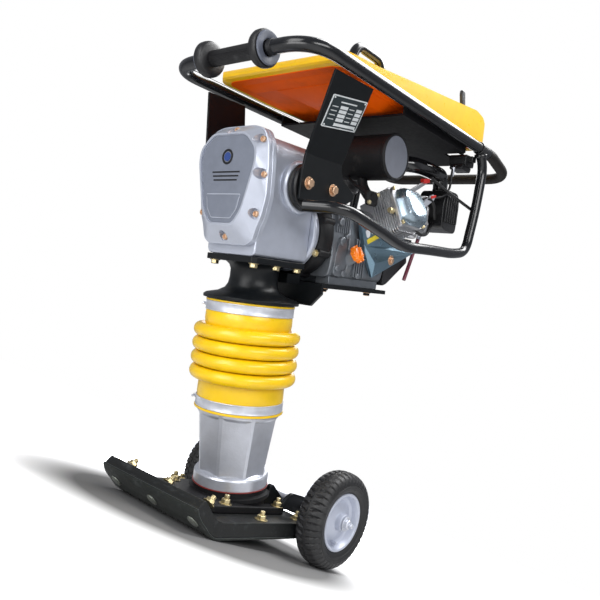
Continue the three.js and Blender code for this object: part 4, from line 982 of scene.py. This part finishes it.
bm = new()
tube(bm, [(0, 236, -18.7), (0, 236, 128), (0, 254, 172), (0, 355, 172), (0, 373, 128), (0, 373, -18.7)], 12,
     50, 32, 12)
piece("lifting_hoop", bm, HANDLE, powder, "handle", ["lifting_eye"], slot="powder_coat", smooth=40)
dress("tank_tray", tray_black, 1.0)
dress("tank", yellow, 4.0, 4, 40)

# Painted shade: the underside of the yellow tank is painted orange for the shade it lies in, as a skin and a
# shallow pan with sloping sides.
outer = [(-16.4, 883.4), (-1, 877), (40, 876), (150, 871), (380, 867), (600, 857)]
bm = new()
prism_x(bm, outer + [(y + 3, z + 3) for y, z in outer[::-1]], -178.9, 178.9)
underside = piece("tank_skin", bm, LEG, tank_shade_orange, "handle")
bm = new()
prism_z(bm, rounded([(-165, 1), (168, 1), (168, 640), (-165, 640)], 36, 8), 840, 970)
carve(underside, bm, LEG, "INTERSECT")
bm = new()
pan(bm, [(-150, 14), (164, 14), (164, 600), (-150, 600)], [(-128, 60), (148, 60), (148, 580), (-128, 580)],
    880, 869)
pan(bm, [(-60, 60), (146, 60), (146, 560), (-60, 560)], [(-20, 104), (118, 104), (118, 520), (-20, 520)],
    868.5, 853)
piece("tank_pan", bm, LEG, tank_shade_orange, "handle", bevel=3.0, segments=4)
bm = new()
m = LEG @ shift((-70, 150, 918.4))
lathe(bm, [(0, 0), (33, 0), (35, 2), (35, 15), (31, 19.5), (0, 19.5)], steps=96,
      wave=lambda a, r, z: r - (1.2 if (r > 32 and 1 < z < 17 and (a * 15 / math.pi) % 1 < 0.4) else 0))
piece("fuel_cap_knurled", bm, m, plastic, "cap", ["fuel_cap"], slot="black_plastic", smooth=30)

# Name plate with blank boxes.
down_line = Vector((-81, 22, -147)).normalized()
face_dir = Vector((147, 0, -81)).normalized()
along = down_line.cross(face_dir)
if along.y < 0:
    along = -along
PLATE = shift(Vector((159.9, 37, 794)) + face_dir * 3.0) @ Matrix((along, -down_line,
    face_dir)).transposed().to_4x4()
bm = new()
prism(bm, rounded([(-52, -33), (52, -33), (52, 33), (-52, 33)], 3, 3), 1.5, PLATE)
piece("name_plate_back", bm, LEG, label_pale, "handle", ["name_plate"], slot="alloy", bevel=0.2, segments=2)
bm = new()
prism(bm, rounded([(-49.5, -30.5), (49.5, -30.5), (49.5, 30.5), (-49.5, 30.5)], 2, 3), 0.5,
      PLATE @ shift((0, 0, 1.4)))
piece("name_plate_field", bm, LEG, label, "handle")
bm = new()
block(bm, -24, 24, 20, 22.6, 1.8, 2.4, PLATE)
for i in range(4):
    y = 8 - i * 8.6
    for x0, x1 in ((-20, 2), (28, 45)):
        block(bm, x0, x1, y, y + 6.4, 1.8, 2.4, PLATE)
    for x0, x1 in ((-44, -27), (7, 22)):
        block(bm, x0, x1, y + 2, y + 3.6, 1.8, 2.4, PLATE)
block(bm, -20, 45, -27.4, -21.6, 1.8, 2.4, PLATE)
for x in (-46, 46):
    for y in (-28, 28):
        lathe(bm, [(0, 1.7), (2, 1.7), (1.4, 3), (0, 3)], PLATE @ shift((x, y, 0)), 14)
piece("name_plate_boxes", bm, LEG, label_pale, "handle")

bm = new()
prism_x(bm, rounded([(556, 800), (606, 800), (606, 829), (556, 829)], 7, 4), 126, 174)
prism_x(bm, rounded([(550, 790), (600, 786), (606, 800), (556, 806)], 6, 4), 132, 168)
block(bm, 170, 186, 570, 592, 812, 826)
lathe(bm, [(13.9, -13), (16.4, -13), (16.4, 13), (13.9, 13), (13.9, -13)],
      aim((200, 581, 845.9), (0, 1, -0.045)), 40)
piece("throttle_box", bm, LEG, plastic, "handle", ["throttle_housing"], bevel=1.4, slot="black_plastic")
bm = new()
line = rounded([(562, 832), (584, 832), (576, 880), (546, 990), (530, 992), (528, 980), (556, 900)], 7, 5)
prism_x(bm, line, 146, 154)
piece("throttle_handle", bm, LEG, plastic, "throttle", ["throttle_lever"], bevel=2.2, slot="black_plastic")
bm = new()
tube(bm, [(135, 456, 748), (141, 482, 738), (165, 540, 712), (186, 596, 690)], 4, 30, 16)
piece("guard_cable", bm, LEG, rubber, "handle", smooth=40)
bm = new()
path = [(150, 552, 797), (150, 536, 786), (153, 530, 730), (148, 504, 704), (128, 470, 700),
        (114, 444, 672)]
tube(bm, path, 3, 22, 20)
piece("throttle_cable_jacket", bm, LEG, rubber, None, ["throttle_cable"], slot="black_plastic", smooth=40)
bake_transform(bpy.data.objects["throttle_cable_jacket"])
bm = new()
lathe(bm, [(0, 0), (4.6, 0), (4.6, 22), (3.4, 24), (0, 24)], aim((150, 540, 790), (0.02, -0.12, -1)), 24)
piece("cable_crimp", bm, LEG, steel, "handle")
for name in ("crank_gear", "clutch_shaft", "piston", "spring_tube"):
    dress(name, steel)

# ---- Stage -------------------------------------------------------------------------------------
# Painted shadow: the floor colour is painted darker close to the machine, rising past white further out.
# Camera rays see this painted shade; bounced light sees another shade of the floor.
# FLOOR_NEAR is the painted shadow colour next to the machine, FLOOR_FAR the floor colour far out.
FLOOR_NEAR, FLOOR_FAR = 0.2, 4.4
FADE_START, FADE_END = 0.28, 0.85
bm = new()
bmesh.ops.create_grid(bm, x_segments=1, y_segments=1, size=60)
data = bpy.data.meshes.new("floor")
bm.to_mesh(data)
bm.free()
floor = bpy.data.objects.new("floor", data)
floor.location.z = -0.0005
bpy.context.scene.collection.objects.link(floor)
# Floor material that carries the painted shadow round the machine.
pale_floor_painted_shadow = bpy.data.materials.new("floor_white_painted_shadow")
pale_floor_painted_shadow.use_nodes = True
ft = pale_floor_painted_shadow.node_tree
ft.nodes.remove(ft.nodes["Principled BSDF"])
seen_floor = node(ft, "ShaderNodeBsdfDiffuse")
spot = node(ft, "ShaderNodeTexCoord")
reach = node(ft, "ShaderNodeVectorMath", operation="LENGTH")
fade = node(ft, "ShaderNodeMapRange")
for socket, value in zip(("From Min", "From Max", "To Min", "To Max"),
                         (FADE_START, FADE_END, FLOOR_NEAR, FLOOR_FAR)):
    fade.inputs[socket].default_value = value
ft.links.new(spot.outputs["Object"], reach.inputs[0])
ft.links.new(reach.outputs["Value"], fade.inputs["Value"])
ft.links.new(fade.outputs["Result"], seen_floor.inputs["Color"])
bounce_floor = node(ft, "ShaderNodeBsdfDiffuse")
bounce_floor.inputs["Color"].default_value = (0.6, 0.6, 0.6, 1)
floor_path = node(ft, "ShaderNodeLightPath")
floor_mix = node(ft, "ShaderNodeMixShader")
ft.links.new(floor_path.outputs["Is Camera Ray"], floor_mix.inputs["Fac"])
ft.links.new(bounce_floor.outputs["BSDF"], floor_mix.inputs[1])
ft.links.new(seen_floor.outputs["BSDF"], floor_mix.inputs[2])
ft.links.new(floor_mix.outputs["Shader"], ft.nodes["Material Output"].inputs["Surface"])
data.materials.append(pale_floor_painted_shadow)

world = bpy.data.worlds.new("studio")
bpy.context.scene.world = world
world.use_nodes = True
tree = world.node_tree
back = tree.nodes["Background"]
seen = node(tree, "ShaderNodeBackground", Strength=1.0)
seen.inputs["Color"].default_value = (1, 1, 1, 1)
back.inputs["Color"].default_value = (0.9, 0.93, 1, 1)
back.inputs["Strength"].default_value = 0.32
path_node = node(tree, "ShaderNodeLightPath")
mixer = node(tree, "ShaderNodeMixShader")
tree.links.new(path_node.outputs["Is Camera Ray"], mixer.inputs["Fac"])
tree.links.new(back.outputs["Background"], mixer.inputs[1])
tree.links.new(seen.outputs["Background"], mixer.inputs[2])
tree.links.new(mixer.outputs["Shader"], tree.nodes["World Output"].inputs["Surface"])


def softbox(name, place, target, size, power):
    data = bpy.data.lights.new(name, "AREA")
    data.shape = "RECTANGLE"
    data.size, data.size_y = size
    data.energy = power
    ob = bpy.data.objects.new(name, data)
    ob.matrix_world = aim(place, Vector(place) - Vector(target))
    bpy.context.scene.collection.objects.link(ob)
    return ob


softbox("key", (0.35, 0.55, 2.7), (0, 0.1, 0.2), (1.7, 1.7), 105)
softbox("front", (0.0, -2.6, 1.2), (0, 0, 0.6), (1.2, 1.6), 28)
softbox("side", (2.3, -1.1, 1.3), (0, 0, 0.6), (0.8, 1.8), 30)
softbox("low", (0.2, -1.6, 0.12), (0, -0.1, 1.0), (1.2, 0.8), 14)
softbox("rear", (-1.6, 1.8, 1.8), (0, 0, 0.7), (1.2, 1.2), 12)
